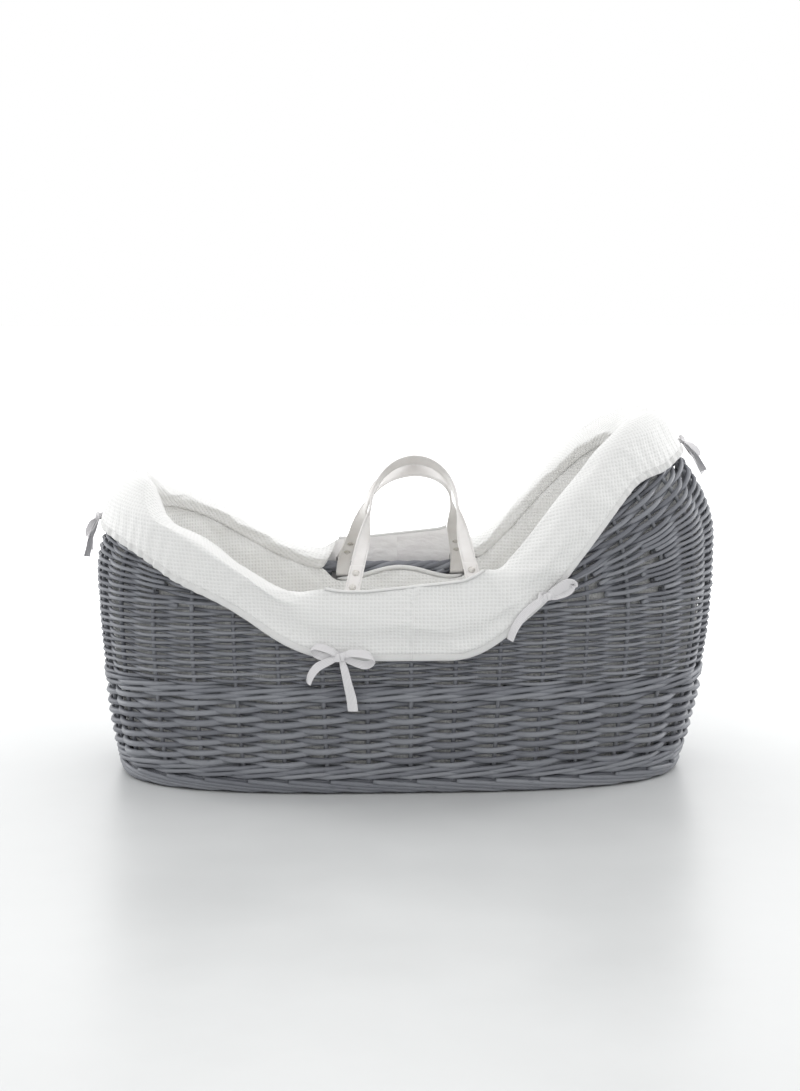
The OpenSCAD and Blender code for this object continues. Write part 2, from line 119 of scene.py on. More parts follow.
def wall(phi, z):
    """Point of the outer skin at a bearing in degrees and a height."""
    phi, z = np.broadcast_arrays(np.asarray(phi, float), np.asarray(z, float))
    c, s = np.cos(np.radians(phi)), np.sin(np.radians(phi))
    flared = np.sin(np.pi / 2 * np.clip(z / FLARE_HEIGHT, 0, 1))
    tucked = np.maximum(0, z - TUCK_FROM) ** 2
    head = HEAD_BASE + HEAD_FLARE * flared - HEAD_TUCK * tucked
    foot = FOOT_BASE + FOOT_FLARE * flared - FOOT_TUCK * np.maximum(0, z - FOOT_TUCK_FROM) ** 2
    half = BASE_HALF + SIDE_FLARE * flared - SIDE_TUCK * tucked
    n = mix(BASE_POWER, RIM_POWER, np.clip(z / FLARE_HEIGHT, 0, 1))
    r = ((np.abs(c) / np.where(c > 0, head, foot)) ** n + (np.abs(s) / half) ** n) ** (-1 / n)
    return np.stack([r * c, r * s, z], axis=-1)


def outward(phi, z):
    around = wall(phi + 0.5, z) - wall(phi - 0.5, z)
    upward = wall(phi, z + 1) - wall(phi, z - 1)
    return unit(np.cross(around, upward))


def skin(phi, z, out):
    return wall(phi, z) + np.asarray(out)[..., None] * outward(phi, z)


GIRTH_BEARINGS = np.arange(361.0)
GIRTH_POINTS = wall(GIRTH_BEARINGS, LOWER_TOP)
GIRTH = run_along(GIRTH_POINTS)


def bearing(u):
    """Bearing of a place counted in stake pitches from the head end."""
    return np.interp(np.mod(u, STAKES) / STAKES * GIRTH[-1], GIRTH, GIRTH_BEARINGS)


def rim_over(x):
    to_head = HEAD_RISE * ease((x - HEAD_RISE_FROM) / HEAD_RISE_RUN)
    return RIM_LOW + to_head + FOOT_RISE * ease((-FOOT_RISE_FROM - x) / FOOT_RISE_RUN)


def rim_point(u):
    phi = bearing(u)
    z = np.full(np.shape(phi), 250.0)
    for _ in range(22):
        z = (z + rim_over(wall(phi, z)[..., 0])) / 2
    return wall(phi, z)


def rim_frame(u):
    """Point of the rim, the way out from the wall there, and the way up along it."""
    spot = rim_point(u)
    out = outward(bearing(u), spot[..., 2])
    return spot, out, unit(np.cross(out, rim_point(u + 0.5) - rim_point(u - 0.5)))


def border_middle(u):
    spot, out, rise = rim_frame(u)
    return spot - MID_IN * (out + rise), out, rise


def by_rim(u, out, up):
    """Point near the rim: out from the skin, and up above the rim or down the wall."""
    spot, normal, rise = rim_frame(u)
    out, up = np.asarray(out, float)[..., None], np.asarray(up, float)[..., None]
    q = spot + up * rise
    phi = np.degrees(np.arctan2(q[..., 1], q[..., 0]))
    on_wall = wall(phi, q[..., 2]) + out * outward(phi, q[..., 2])
    return np.where(up >= 0, q + out * normal, on_wall)


def place_at(x, near):
    """Place along the rim, in stake pitches, where a long side passes x."""
    u = np.linspace(18.5, 35.5, 1701) if near else np.linspace(17.5, 0.5, 1701)
    return float(np.interp(x, rim_point(u)[:, 0], u))


def slit_share(u):
    """1 in the handle slits of the lining and 0 away from them."""
    side = np.maximum(np.mod(u, STAKES), STAKES - np.mod(u, STAKES))
    return smooth((side - 25.1) / 0.4) * smooth((28.9 - side) / 0.4)


def stand_share(u):
    """1 where the flap stands up outside the rim, which reaches further on the near side."""
    near = smooth((np.mod(u, STAKES) - 24.5) / 0.5) * smooth((29.5 - np.mod(u, STAKES)) / 0.5)
    return np.where(np.mod(u, STAKES) > STAKES / 2, near, slit_share(u))


def lining_drop(u):
    """Distance of the lining's top edge below the rim."""
    away = np.abs(rim_point(u)[..., 0] - SLIT_MID) / 80
    in_slit = 25 - SLIT_EDGE_RISE * (1 + np.cos(np.pi * np.clip(away, 0, 1))) / 2
    return mix(9.0, in_slit, slit_share(u))


# ---------------- meshes


def put_mesh(name, points, faces, material, **attributes):
    mesh = bpy.data.meshes.new(name)
    mesh.from_pydata(((points + [MIDDLE_X, 0, 0]) * MM).tolist(), [], faces)
    for label, values in attributes.items():
        values = np.asarray(values, np.float32)
        flat = values.ndim == 1
        layer = mesh.attributes.new(label, "FLOAT" if flat else "FLOAT_VECTOR", "POINT")
        layer.data.foreach_set("value" if flat else "vector", values.ravel())
    mesh.polygons.foreach_set("use_smooth", np.ones(len(mesh.polygons), bool))
    mesh.materials.append(material)
    piece = bpy.data.objects.new(name, mesh)
    bpy.context.scene.collection.objects.link(piece)
    return piece


def attach(piece, body, slot, *nodes):
    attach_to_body(piece, body)
    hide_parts(*nodes)
    return piece


def grid_faces(rows, columns, ring_rows=False, ring_columns=True):
    """Quads of a grid, which may close on itself either way; open tubes get end caps."""
    i = np.arange(rows if ring_rows else rows - 1)[:, None]
    j = np.arange(columns if ring_columns else columns - 1)[None]
    next_i, next_j = (i + 1) % rows, (j + 1) % columns
    corners = [i * columns + j, i * columns + next_j, next_i * columns + next_j, next_i * columns + j]
    faces = np.stack(np.broadcast_arrays(*corners), -1).reshape(-1, 4).tolist()
    if ring_columns and not ring_rows:
        faces.append(list(range(columns - 1, -1, -1)))
        faces.append(list(range((rows - 1) * columns, rows * columns)))
    return faces


def cloth_grid(along, across):
    """Where each point of a grid lies in its cloth: along the strip and across it."""
    along, across = np.broadcast_arrays(along, across)
    return np.stack([along, across, 0 * along], -1).reshape(-1, 3)


def spline(points, steps):
    """Smooth curve through points (or rows of numbers), as a Catmull-Rom spline."""
    p = np.asarray(points, float)
    ends = [2 * p[0] - p[1], *p, 2 * p[-1] - p[-2]]
    p = np.asarray(ends)
    t = (np.arange(steps) / steps).reshape((-1,) + (1,) * (p.ndim - 1))
    parts = []
    for a, b, c, d in zip(p, p[1:], p[2:], p[3:]):
        square, cube = 2 * a - 5 * b + 4 * c - d, 3 * b - a - 3 * c + d
        parts.append(0.5 * (2 * b + (c - a) * t + square * t**2 + cube * t**3))
    return np.concatenate([*parts, p[-2:-1]])


class Bundle:
    """Rods gathered into one mesh, each with its own tone and its own grain."""

    def __init__(self, seed):
        self.rng = np.random.default_rng(seed)
        self.points, self.faces, self.tone, self.grain = [], [], [], []
        self.count = 0

    def rod(self, path, out, radius, sides=8, tone=None):
        along = unit(np.gradient(path, axis=0))
        side = unit(np.cross(along, out))
        face = np.cross(side, along)
        turn = np.arange(sides) * 2 * np.pi / sides
        ring = round_ring(turn, face, side)
        radius = np.broadcast_to(radius, len(path))
        self.points.append((path[:, None] + radius[:, None, None] * ring).reshape(-1, 3))
        self.faces.extend(shifted(grid_faces(len(path), sides), self.count))
        lengths = np.broadcast_to(run_along(path)[:, None], (len(path), sides))
        rounds = np.broadcast_to(turn[None] * 3, (len(path), sides))
        shift = np.full((len(path), sides), self.rng.uniform(0, 500))
        self.grain.append(np.stack([lengths, rounds, shift], -1).reshape(-1, 3))
        self.tone.append(np.full(len(path) * sides, self.rng.uniform() if tone is None else tone))
        self.count += len(path) * sides

    def rod_on_wall(self, u, z, out, radius, tone=None):
        self.rod(skin(bearing(u), z, out), outward(bearing(u), z), radius, tone=tone)

    def piece(self, name):
        tone, grain = np.concatenate(self.tone), np.concatenate(self.grain)
        return put_mesh(name, np.concatenate(self.points), self.faces, WICKER, tone=tone, grain=grain)

    def place(self, name, cad_node):
        attach(self.piece(name), "basket", "wicker", cad_node)


# ---------------- materials


def new_material(name, color, roughness, **sockets):
    """A Principled material; sockets are constant values, with _ for spaces."""
    material = bpy.data.materials.new(name)
    material.use_nodes = True
    shader = material.node_tree.nodes["Principled BSDF"]
    shader.inputs["Base Color"].default_value = (*color, 1)
    shader.inputs["Roughness"].default_value = roughness
    for socket, value in sockets.items():
        shader.inputs[socket.replace("_", " ")].default_value = value
    return material


def node(material, kind, inputs=(), **settings):
    made = material.node_tree.nodes.new(kind)
    for key, value in settings.items():
        setattr(made, key, value)
    for key, value in dict(inputs).items():
        if isinstance(value, bpy.types.NodeSocket):
            material.node_tree.links.new(value, made.inputs[key])
        else:
            made.inputs[key].default_value = value
    return made


def calc(material, operation, a, b=0.0, c=0.0):
    return node(material, "ShaderNodeMath", {0: a, 1: b, 2: c}, operation=operation).outputs[0]


def attribute(material, name, output="Vector"):
    return node(material, "ShaderNodeAttribute", attribute_name=name).outputs[output]


def scaled(material, vector, scale):
    made = node(material, "ShaderNodeVectorMath", {0: vector, 1: scale}, operation="MULTIPLY")
    return made.outputs[0]


def noise(material, vector, scale, detail=3.0):
    inputs = {"Vector": vector, "Scale": scale, "Detail": detail}
    return node(material, "ShaderNodeTexNoise", inputs).outputs["Fac"]


def ramp(material, fac, *stops):
    made = node(material, "ShaderNodeValToRGB", {"Fac": fac})
    elements = made.color_ramp.elements
    while len(elements) < len(stops):
        elements.new(0.5)
    for element, (position, color) in zip(elements, stops):
        element.position = position
        element.color = (*color, 1)
    return made.outputs["Color"]


def shade(material, color=None, roughness=None, height=None, distance=0.0004, strength=1.0):
    """Links a colour, a roughness and a bump height to the material's shader."""
    shader = material.node_tree.nodes["Principled BSDF"]
    links = material.node_tree.links
    if color is not None:
        links.new(color, shader.inputs["Base Color"])
    if roughness is not None:
        links.new(roughness, shader.inputs["Roughness"])
    if height is not None:
        inputs = {"Height": height, "Distance": distance, "Strength": strength}
        bump = node(material, "ShaderNodeBump", inputs)
        links.new(bump.outputs["Normal"], shader.inputs["Normal"])


def object_point(material):
    return node(material, "ShaderNodeTexCoord").outputs["Object"]


def wicker_material():
    """Painted willow: streaks along each rod, a tone for each rod, and knots."""
    m = new_material("wicker", (0.15, 0.155, 0.17), 0.45, Specular_IOR_Level=0.45)
    grain = attribute(m, "grain")
    streaks = noise(m, scaled(m, grain, (0.05, 0.55, 1)), 1.0, 5.0)
    knots = noise(m, scaled(m, grain, (0.09, 0.16, 1)), 1.0, 1.0)
    knot = calc(m, "SMOOTH_MIN", calc(m, "MULTIPLY", calc(m, "SUBTRACT", knots, 0.66), 9.0), 1.0, 0.1)
    knot = calc(m, "MAXIMUM", knot, 0.0)
    tone = calc(m, "MULTIPLY", attribute(m, "tone", "Fac"), 0.5)
    value = calc(m, "ADD", tone, calc(m, "MULTIPLY", streaks, 0.5))
    value = calc(m, "SUBTRACT", value, calc(m, "MULTIPLY", knot, 0.3))
    dark, middle, light = (0.125, 0.13, 0.15), (0.2, 0.208, 0.232), (0.285, 0.295, 0.32)
    color = ramp(m, value, (0.1, dark), (0.45, middle), (0.85, light))
    height = calc(m, "ADD", streaks, calc(m, "MULTIPLY", knot, 0.8))
    rough = calc(m, "MULTIPLY_ADD", streaks, 0.3, 0.3)
    shade(m, color, rough, height, 0.0005, 0.7)
    return m


def waffle_material(name, cell, color, cup_shade_color, depth):
    """Waffle-weave cotton: square cups between raised threads, with a soft fuzz; the cups are painted a
    little darker as shade.
    """
    m = new_material(name, color, 0.85, Sheen_Weight=0.25, Sheen_Roughness=0.4, Specular_IOR_Level=0.2)
    cloth = attribute(m, "cloth")
    axes = node(m, "ShaderNodeSeparateXYZ", {"Vector": scaled(m, cloth, (math.pi / cell,) * 3)})
    across = calc(m, "ABSOLUTE", calc(m, "SINE", axes.outputs["X"]))
    down = calc(m, "ABSOLUTE", calc(m, "SINE", axes.outputs["Y"]))
    cup = calc(m, "MULTIPLY", calc(m, "POWER", across, 1.4), calc(m, "POWER", down, 1.4))
    fuzz = noise(m, scaled(m, cloth, (1.3, 1.3, 1.3)), 1.0, 2.0)
    threads = calc(m, "MULTIPLY", calc(m, "SINE", calc(m, "MULTIPLY", axes.outputs["X"], 8.0)), 0.05)
    height = calc(m, "SUBTRACT", calc(m, "MULTIPLY_ADD", fuzz, 0.16, threads), cup)
    # the colour darkens in the cups: painted shade in the hollows of the weave
    shade(m, ramp(m, cup, (0.0, color), (1.0, cup_shade_color)), None, height, depth)
    return m


def plain_cloth_material():
    """Smooth lawn on the inner face of the flap, with soft creases whose hollows are painted darker as
    shade.
    """
    m = new_material("liner_back", (0.86, 0.845, 0.84), 0.8, Sheen_Weight=0.2, Specular_IOR_Level=0.25)
    cloth = attribute(m, "cloth")
    creases = noise(m, scaled(m, cloth, (0.02, 0.045, 1)), 1.0, 4.0)
    threads = noise(m, scaled(m, cloth, (2.5, 2.5, 1)), 1.0, 1.0)
    height = calc(m, "MULTIPLY_ADD", threads, 0.03, creases)
    # the colour darkens in the crease hollows: painted shade
    color = ramp(m, creases, (0.3, (0.82, 0.8, 0.8)), (0.6, (0.87, 0.86, 0.855)))
    shade(m, color, None, height, 0.006, 0.8)
    return m


def ribbed_material(name, pitch, color, rib_shade_color):
    """Woven tape with fine ribs along its length; the grooves between the ribs are painted darker as shade.
    """
    m = new_material(name, color, 0.7, Sheen_Weight=0.2, Specular_IOR_Level=0.3)
    cloth = attribute(m, "cloth")
    axes = node(m, "ShaderNodeSeparateXYZ", {"Vector": scaled(m, cloth, (math.pi / pitch,) * 3)})
    rib = calc(m, "ABSOLUTE", calc(m, "SINE", axes.outputs["Y"]))
    picks = calc(m, "MULTIPLY", calc(m, "SINE", calc(m, "MULTIPLY", axes.outputs["X"], 3.0)), 0.2)
    fuzz = noise(m, scaled(m, cloth, (0.5, 0.5, 0.5)), 1.0, 3.0)
    height = calc(m, "ADD", rib, calc(m, "MULTIPLY_ADD", fuzz, 0.4, picks))
    # the colour darkens between the ribs: painted shade in the grooves
    shade(m, ramp(m, rib, (0.0, rib_shade_color), (0.7, color)), None, height, 0.0003)
    return m


def leather_material():
    """Coated strap: fine pebble grain, a soft shine and faint marks of handling."""
    m = new_material("strap", (0.8, 0.78, 0.765), 0.5, Specular_IOR_Level=0.45, Coat_Weight=0.1)
    point = object_point(m)
    cells = node(m, "ShaderNodeTexVoronoi", {"Vector": point, "Scale": 900.0}, feature="SMOOTH_F1")
    marks = noise(m, point, 35.0, 4.0)
    color = ramp(m, marks, (0.3, (0.77, 0.745, 0.725)), (0.7, (0.86, 0.845, 0.83)))
    rough = calc(m, "MULTIPLY_ADD", marks, 0.25, 0.36)
    shade(m, color, rough, cells.outputs["Distance"], 0.0002, 0.6)
    return m


def metal_material():
    m = new_material("rivet_metal", (0.62, 0.605, 0.58), 0.3, Metallic=1.0)
    marks = noise(m, object_point(m), 260.0, 5.0)
    rough = calc(m, "MULTIPLY_ADD", marks, 0.35, 0.12)
    color = ramp(m, marks, (0.3, (0.5, 0.48, 0.45)), (0.7, (0.72, 0.7, 0.67)))
    shade(m, color, rough, marks, 0.0001, 0.4)
    return m


def foam_material():
    m = new_material("foam", (0.82, 0.76, 0.58), 0.95)
    cells = noise(m, object_point(m), 900.0, 2.0)
    color = ramp(m, cells, (0.3, (0.7, 0.63, 0.45)), (0.6, (0.84, 0.78, 0.6)))
    shade(m, color, None, cells, 0.0006)
    return m


def floor_material():
    """Pale painted floor with a soft shine and faint scuffs, which glows white far back: painted light from
    emission.
    """
    m = new_material("floor", (0.68, 0.69, 0.69), 0.4, Emission_Color=(1, 1, 1, 1))
    point = object_point(m)
    back = node(m, "ShaderNodeSeparateXYZ", {"Vector": point}).outputs["Y"]
    # emission rises towards the back so the far floor glows white: painted light, not a lamp
    painted_back_glow = node(m, "ShaderNodeMapRange", {"Value": back, 1: -2.35, 2: -1.5}, interpolation_type="SMOOTHSTEP")
    m.node_tree.links.new(painted_back_glow.outputs[0], m.node_tree.nodes["Principled BSDF"].inputs["Emission Strength"])
    scuffs = noise(m, point, 3.0, 6.0)
    color = ramp(m, scuffs, (0.3, (0.62, 0.63, 0.63)), (0.7, (0.7, 0.71, 0.71)))
    shade(m, color, calc(m, "MULTIPLY_ADD", scuffs, 0.3, 0.22), scuffs, 0.001, 0.15)
    return m


WICKER = wicker_material()
# the second colour of a waffle cloth is painted shade in its cups
LINEN = waffle_material("liner_fabric", 4.6, (0.87, 0.87, 0.86), (0.82, 0.82, 0.81), 0.0007)
LINEN_BACK = plain_cloth_material()
# the second colour of a ribbed tape is painted shade between its ribs (BINDING, RIBBON, THREAD)
BINDING = ribbed_material("binding", 1.4, (0.86, 0.86, 0.85), (0.76, 0.76, 0.75))
RIBBON = ribbed_material("tie_ribbon", 1.6, (0.84, 0.83, 0.84), (0.66, 0.65, 0.67))
THREAD = ribbed_material("thread", 0.5, (0.87, 0.86, 0.85), (0.7, 0.69, 0.68))
QUILT = waffle_material("mattress_fabric", 1.6, (0.87, 0.86, 0.84), (0.78, 0.77, 0.75), 0.0003)
STRAP = leather_material()
METAL = metal_material()
FOAM = foam_material()


# ---------------- wicker


def end_share(k):
    return np.clip((k - STAKES / 2 * np.round(k / (STAKES / 2))) / 3, -1, 1)


def leaned(k, z):
    """Place of stake k at a height; stakes near the ends lean towards the middle."""
    return k + end_share(k) * LEAN * np.maximum(0, z - LEAN_FROM) ** 2


def stake_number(u, z):
    k = np.asarray(u, float)
    for _ in range(4):
        k = u - end_share(k) * LEAN * np.maximum(0, z - LEAN_FROM) ** 2
    return k


def rod_spans(rng, inside, first, last):
    """First and last section of each rod of a row; rods end where the row is inside."""
    spans, start = [], first
    while start < last:
        wanted = start + int(PITCH_STEPS * rng.uniform(7, 12))
        later = inside[(inside >= wanted) & (inside < last - 2 * PITCH_STEPS)]
        stop = int(later[0]) if len(later) else last
        spans.append((start, stop))
        start = stop
    return spans


def weave_row(bundle, u, z, row, radius, slant, open_places):
    """One row of single rods, in front of every other stake, where the wall is there."""
    rng = bundle.rng
    k = stake_number(u, z)
    turn = np.pi * (k - row)
    waves = 0.35 * np.sin(u * 2 * np.pi * rng.integers(3, 9) / STAKES + rng.uniform(0, 6))
    waves = waves + 0.3 * np.sin(u * 2 * np.pi * rng.integers(9, 20) / STAKES + rng.uniform(0, 6))
    level = z + waves + slant * np.sin(turn)
    out = -MID_IN + (STAKE_R + radius * 0.95) * np.cos(turn)
    phi = bearing(u)
    path, normal = skin(phi, level, out), outward(phi, level)
    inside = np.flatnonzero(np.cos(turn) < -0.97)
    edges = np.flatnonzero(np.diff(np.concatenate([[0], open_places.astype(int), [0]])))
    for first, stop in zip(edges[::2], edges[1::2]):
        for a, b in rod_spans(rng, inside, first, stop - 1):
            if b - a >= PITCH_STEPS // 2:
                taper = np.linspace(rng.uniform(1.02, 1.14), rng.uniform(0.84, 0.94), b - a + 1)
                bundle.rod(path[a : b + 1], normal[a : b + 1], radius * taper)


def ring_places(row):
    start = row + 1
    return start + np.linspace(0, STAKES, STAKES * PITCH_STEPS + 1)


def clear_of_handles(u, z):
    """False where a strap passes under the border."""
    x = wall(bearing(u), z)[..., 0]
    under = (np.abs(x - LEG_X_FOOT) < 15) | (np.abs(x - LEG_X_HEAD) < 15)
    return ~(under & (z > RIM_LOW - 30))


def lower_weave():
    bundle = Bundle(11)
    z, row = UPSET_TOP + 3.2, 0
    while z < LOWER_TOP - 2:
        u = ring_places(row)
        weave_row(bundle, u, np.full(len(u), z), row, LOWER_ROD, 1.0, np.ones(len(u), bool))
        z += LOWER_PITCH
        row += 1
    bundle.place("lower_weave_rods", "lower_weave")


def fanned_height(end_height, share, slope, away):
    """Height along a row that rises towards an end; away is the distance from the end's middle."""
    return end_height - share * slope * (np.hypot(away, 60) - 60)


def below_border(u, z):
    x = wall(bearing(u), z)[..., 0]
    return z < rim_over(x) - 12


def upper_weave_sides():
    bundle = Bundle(12)
    z, row = MID_TOP + 2.6, 0
    while z < RIM_LOW + 2:
        u = ring_places(row)
        height = np.full(len(u), z)
        there = clear_of_handles(u, height) & below_border(u, height)
        weave_row(bundle, u, height, row, UPPER_ROD, 0.6, there)
        z += UPPER_PITCH
        row += 1
    bundle.place("upper_weave_rods", "upper_weave")
    return z, row


def reach_of_row(row):
    """How far from the end's middle a row of the fan goes, in stakes: rows drop out in pairs."""
    pair = row // 2
    if pair % 2:
        return 3.1 + 0.3 * (pair // 2 % 3)
    return 4.6 + 0.2 * (pair // 4 % 3) if pair % 4 else 9.0


def upper_weave_end(name, seed, z, row, middle, rim_end, slope, ramp):
    """Rows of one raised end, which fan out as the wall gets taller."""
    bundle = Bundle(seed)
    u = middle + np.linspace(-9, 9, 18 * PITCH_STEPS + 1)
    away = np.abs(u - middle) * GIRTH[-1] / STAKES
    start = z
    while z < rim_end + 12:
        share = min(1.0, (z - start) / ramp)
        height = fanned_height(z, share, slope, away)
        there = below_border(u, height)
        if share < 1:
            there &= np.abs(u - middle) < reach_of_row(row)
        radius, pitch = (WEDGE_ROD, WEDGE_PITCH) if share < 1 else (END_ROD, END_PITCH)
        weave_row(bundle, u, height, row, radius, 0.6, there)
        z += pitch
        row += 1
    bundle.place(name, "upper_weave")


def wale_row(bundle, z, radius, slant):
    """Three rods that each pass in front of two stakes and behind the third."""
    for first in range(3):
        u = first + np.linspace(0, STAKES, STAKES * PITCH_STEPS + 1)
        turn = 2 * np.pi * (u - first) / 3
        out = -MID_IN + (STAKE_R + radius * 0.9) * np.clip(0.35 - 1.3 * np.cos(turn), -1, 1)
        level = z - slant * np.sin(turn)
        path, normal = skin(bearing(u), level, out), outward(bearing(u), level)
        inside = np.flatnonzero(np.cos(turn) > 0.97)
        for a, b in rod_spans(bundle.rng, inside, 0, len(u) - 1):
            taper = np.linspace(bundle.rng.uniform(1.02, 1.12), bundle.rng.uniform(0.86, 0.96), b - a + 1)
            bundle.rod(path[a : b + 1], normal[a : b + 1], radius * taper)


def wales():
    for name, seed, heights, cad_node in (
        ("upset_wale_rods", 13, (23.6, 29.8), "upset_wale"),
        ("mid_wale_rods", 14, (122.0, 129.6), "mid_wale"),
    ):
        bundle = Bundle(seed)
        for z in heights:
            wale_row(bundle, z, WALE_ROD, 2.6)
        bundle.place(name, cad_node)


def foot_border():
    """One rod from each stake, sweeping down over three stakes and tucked under."""
    bundle = Bundle(15)
    for k in range(STAKES):
        t = np.linspace(0, 1.35, 34)
        u = k + 0.1 + 3.0 * t + bundle.rng.uniform(-0.06, 0.06)
        z = np.where(t < 1, 15.4 - 12.6 * t**0.9, 2.8 + 8 * (t - 1))
        out = -3.4 - 1.2 * smooth(t) - 11 * np.maximum(0, t - 0.86)
        bundle.rod_on_wall(u, z, out, FOOT_ROD * np.linspace(1.05, 0.85, len(t)))
    for z in (6.5, 14.0):
        u = np.linspace(0, STAKES, STAKES * 6 + 1)
        bundle.rod_on_wall(u, np.full(len(u), z), -8.5, FOOT_CORE_ROD, tone=0.1)
    bundle.place("foot_border_rods", "foot_border")


def rim_border():
    """Four strands that twist round the top of the stakes."""
    bundle = Bundle(16)
    u = np.linspace(0, STAKES, STAKES * 14 + 1)
    middle, out, rise = border_middle(u)
    for strand in range(4):
        turn = (2 * np.pi * (u * 22 / STAKES) + strand * np.pi / 2)[:, None]
        radial = np.cos(turn) * out + np.sin(turn) * rise
        bundle.rod(middle + RIM_ROD * radial, radial, RIM_ROD)
    bundle.place("rim_border_rods", "rim_border")


def stake_top(k):
    z = 240.0
    for _ in range(14):
        z = (z + float(rim_point(leaned(k, z))[2]) - MID_IN) / 2
    return z


def stakes(name, seed, first, last):
    bundle = Bundle(seed)
    for k in range(first, last + 1):
        k = k % STAKES
        z = np.linspace(10, stake_top(k), 26)
        u = leaned(k, z)
        bundle.rod_on_wall(u, z, np.full(len(z), -MID_IN), STAKE_R * bundle.rng.uniform(0.92, 1.08))
    bundle.place(name + "_rods", name)


def base_weave():
    """Rods across the floor, over and under the five long sticks."""
    bundle = Bundle(17)
    rows = np.arange(-342, 324, 5.4)
    for row, x in enumerate(rows):
        reach = FOOT_BASE - 16 if x < 0 else HEAD_BASE - 16
        half = (BASE_HALF - 15) * (1 - (abs(x) / reach) ** BASE_POWER) ** (1 / BASE_POWER)
        y = np.linspace(-half, half, 60)
        z = 12 + 5.8 * np.cos(np.pi * (y / 52 + row))
        path = np.stack([x + 0.4 * np.sin(y / 17 + row), y, z], -1)
        bundle.rod(path, np.tile([0, 0, 1.0], (len(y), 1)), BASE_ROD * bundle.rng.uniform(0.9, 1.08))
    bundle.place("base_weave_rods", "base_weave")


# ---------------- padded fabric


def inflate(piece, pinned, pressure, growth, cap):
    """Swells a padded piece with a cloth simulation, and keeps each point within cap."""
    mesh = piece.data
    rest = np.empty(len(mesh.vertices) * 3)
    mesh.vertices.foreach_get("co", rest)
    rest = rest.reshape(-1, 3)
    group = piece.vertex_groups.new(name="held")
    group.add([int(v) for v in np.flatnonzero(pinned)], 1.0, "REPLACE")
    cloth = piece.modifiers.new("padding", "CLOTH")
    settings = cloth.settings
    settings.quality = 6
    settings.mass = 0.15
    settings.tension_stiffness = settings.compression_stiffness = 12
    settings.shear_stiffness = 4
    settings.bending_stiffness = 0.4
    settings.use_pressure = True
    settings.uniform_pressure_force = pressure
    settings.shrink_min = -growth
    settings.vertex_group_mass = "held"
    settings.effector_weights.gravity = 0
    cloth.collision_settings.use_self_collision = False
    scene = bpy.context.scene
    for step in range(1, 21):
        scene.frame_set(step)
    evaluated = piece.evaluated_get(bpy.context.evaluated_depsgraph_get())
    swollen = np.empty(len(rest) * 3)
    evaluated.data.vertices.foreach_get("co", swollen)
    move = swollen.reshape(-1, 3) - rest
    length = np.linalg.norm(move, axis=1, keepdims=True)
    move = move * (cap * MM / np.maximum(length + cap * MM, 1e-9)) * 1.6
    piece.modifiers.remove(cloth)
    piece.vertex_groups.remove(group)
    mesh.vertices.foreach_set("co", (rest + move).ravel())
    mesh.update()
    scene.frame_set(1)


def subdivide(piece):
    """One subdivision, applied."""
    modifier = piece.modifiers.new("finer", "SUBSURF")
    modifier.levels = 1
    modifier.render_levels = 1
    evaluated = piece.evaluated_get(bpy.context.evaluated_depsgraph_get())
    finer = bpy.data.meshes.new_from_object(evaluated)
    piece.modifiers.remove(modifier)
    piece.data = finer


def hem_drop(x):
    head_slope = smooth((x - 40) / 70) - smooth((x - 235) / 50)
    foot_slope = np.exp(-(((x + 195) / 55) ** 2))
    return FLAP_DROP - 18 * head_slope - 13 * foot_slope - 12 * np.clip((np.abs(x) - 270) / 80, 0, 1)


def roll_profiles(drop):
    """Outer and inner face of the roll, as rows of out and up from the rim."""
    outer = [(8, -drop), (11, -0.6 * drop), (15, -0.3 * drop), (17, 0), (13, 15), (3, 24), (-9, 25),
             (-22, 18), (-28, 5), (-27, -12)]
    inner = [(1.2, -drop), (1.2, -0.6 * drop), (1.2, -0.3 * drop), (1.8, 0), (0.5, 1.8), (-3, 2),
             (-9, 2), (-14, 2), (-18, 0.5), (-18, -12)]
    return np.array(outer, float), np.array(inner, float)


def slit_taller(x):
    """The standing flap is taller towards the head end."""
    return 1 + SLIT_RISE / 28.8 * np.clip((x + 60) / 136, 0, 1)


def slit_profiles(drop, x):
    """The same where a handle comes through: the flap stands up outside the rim."""
    outer = [(8, -drop), (12, -0.6 * drop), (18, -0.3 * drop), (19.5, 0), (18.8, 10), (17.4, 19),
             (15.8, 26), (14.8, 28), (13.9, 28.8), (12.9, 28.4)]
    inner = [(1.2, -drop), (3.5, -0.6 * drop), (8, -0.3 * drop), (9.2, 0), (9.7, 6), (10.2, 12),
             (10.7, 18), (11, 22), (11.3, 25), (11.8, 27.3)]
    outer, inner = np.array(outer, float), np.array(inner, float)
    for side in (outer, inner):
        side[:, 1] = np.where(side[:, 1] > 0, side[:, 1] * slit_taller(x), side[:, 1])
    return outer, inner


def flatness(u):
    """Share of the roll's height: less on the far side and the foot's near slope, more round the foot."""
    spot = rim_point(u)
    x, y = spot[..., 0], spot[..., 1]
    far = FAR_PRESS * smooth(y / 120) * smooth((np.abs(x) - 60) / 60)
    slope = SLOPE_PRESS * smooth(-y / 120) * smooth((-x - 100) / 50) * smooth((x + 350) / 60)
    return (1 - far - slope) * (1 + END_PUFF * smooth((-x - 300) / 50))


def flap_loops(u):
    """Section of the flap at each place: a closed loop of out and up, and its cloth way."""
    x = rim_point(u)[:, 0]
    share, keep = stand_share(u), flatness(u)
    loops, ways = [], []
    for place, at_slit, height in zip(x, share, keep):
        drop = hem_drop(place)
        pairs = zip(roll_profiles(drop), slit_profiles(drop, place))
        outer, inner = (mix(rolled, standing, at_slit) for rolled, standing in pairs)
        outer, inner = spline(outer, 4), spline(inner, 2)
        outer[:, 1] = np.where(outer[:, 1] > 0, outer[:, 1] * mix(height, 1, at_slit), outer[:, 1])
        loops.append(np.concatenate([outer, inner[::-1]]))
        ways.append(np.concatenate([run_along(outer), run_along(inner)[::-1]]) - drop)
    return np.array(loops), np.array(ways), len(outer)


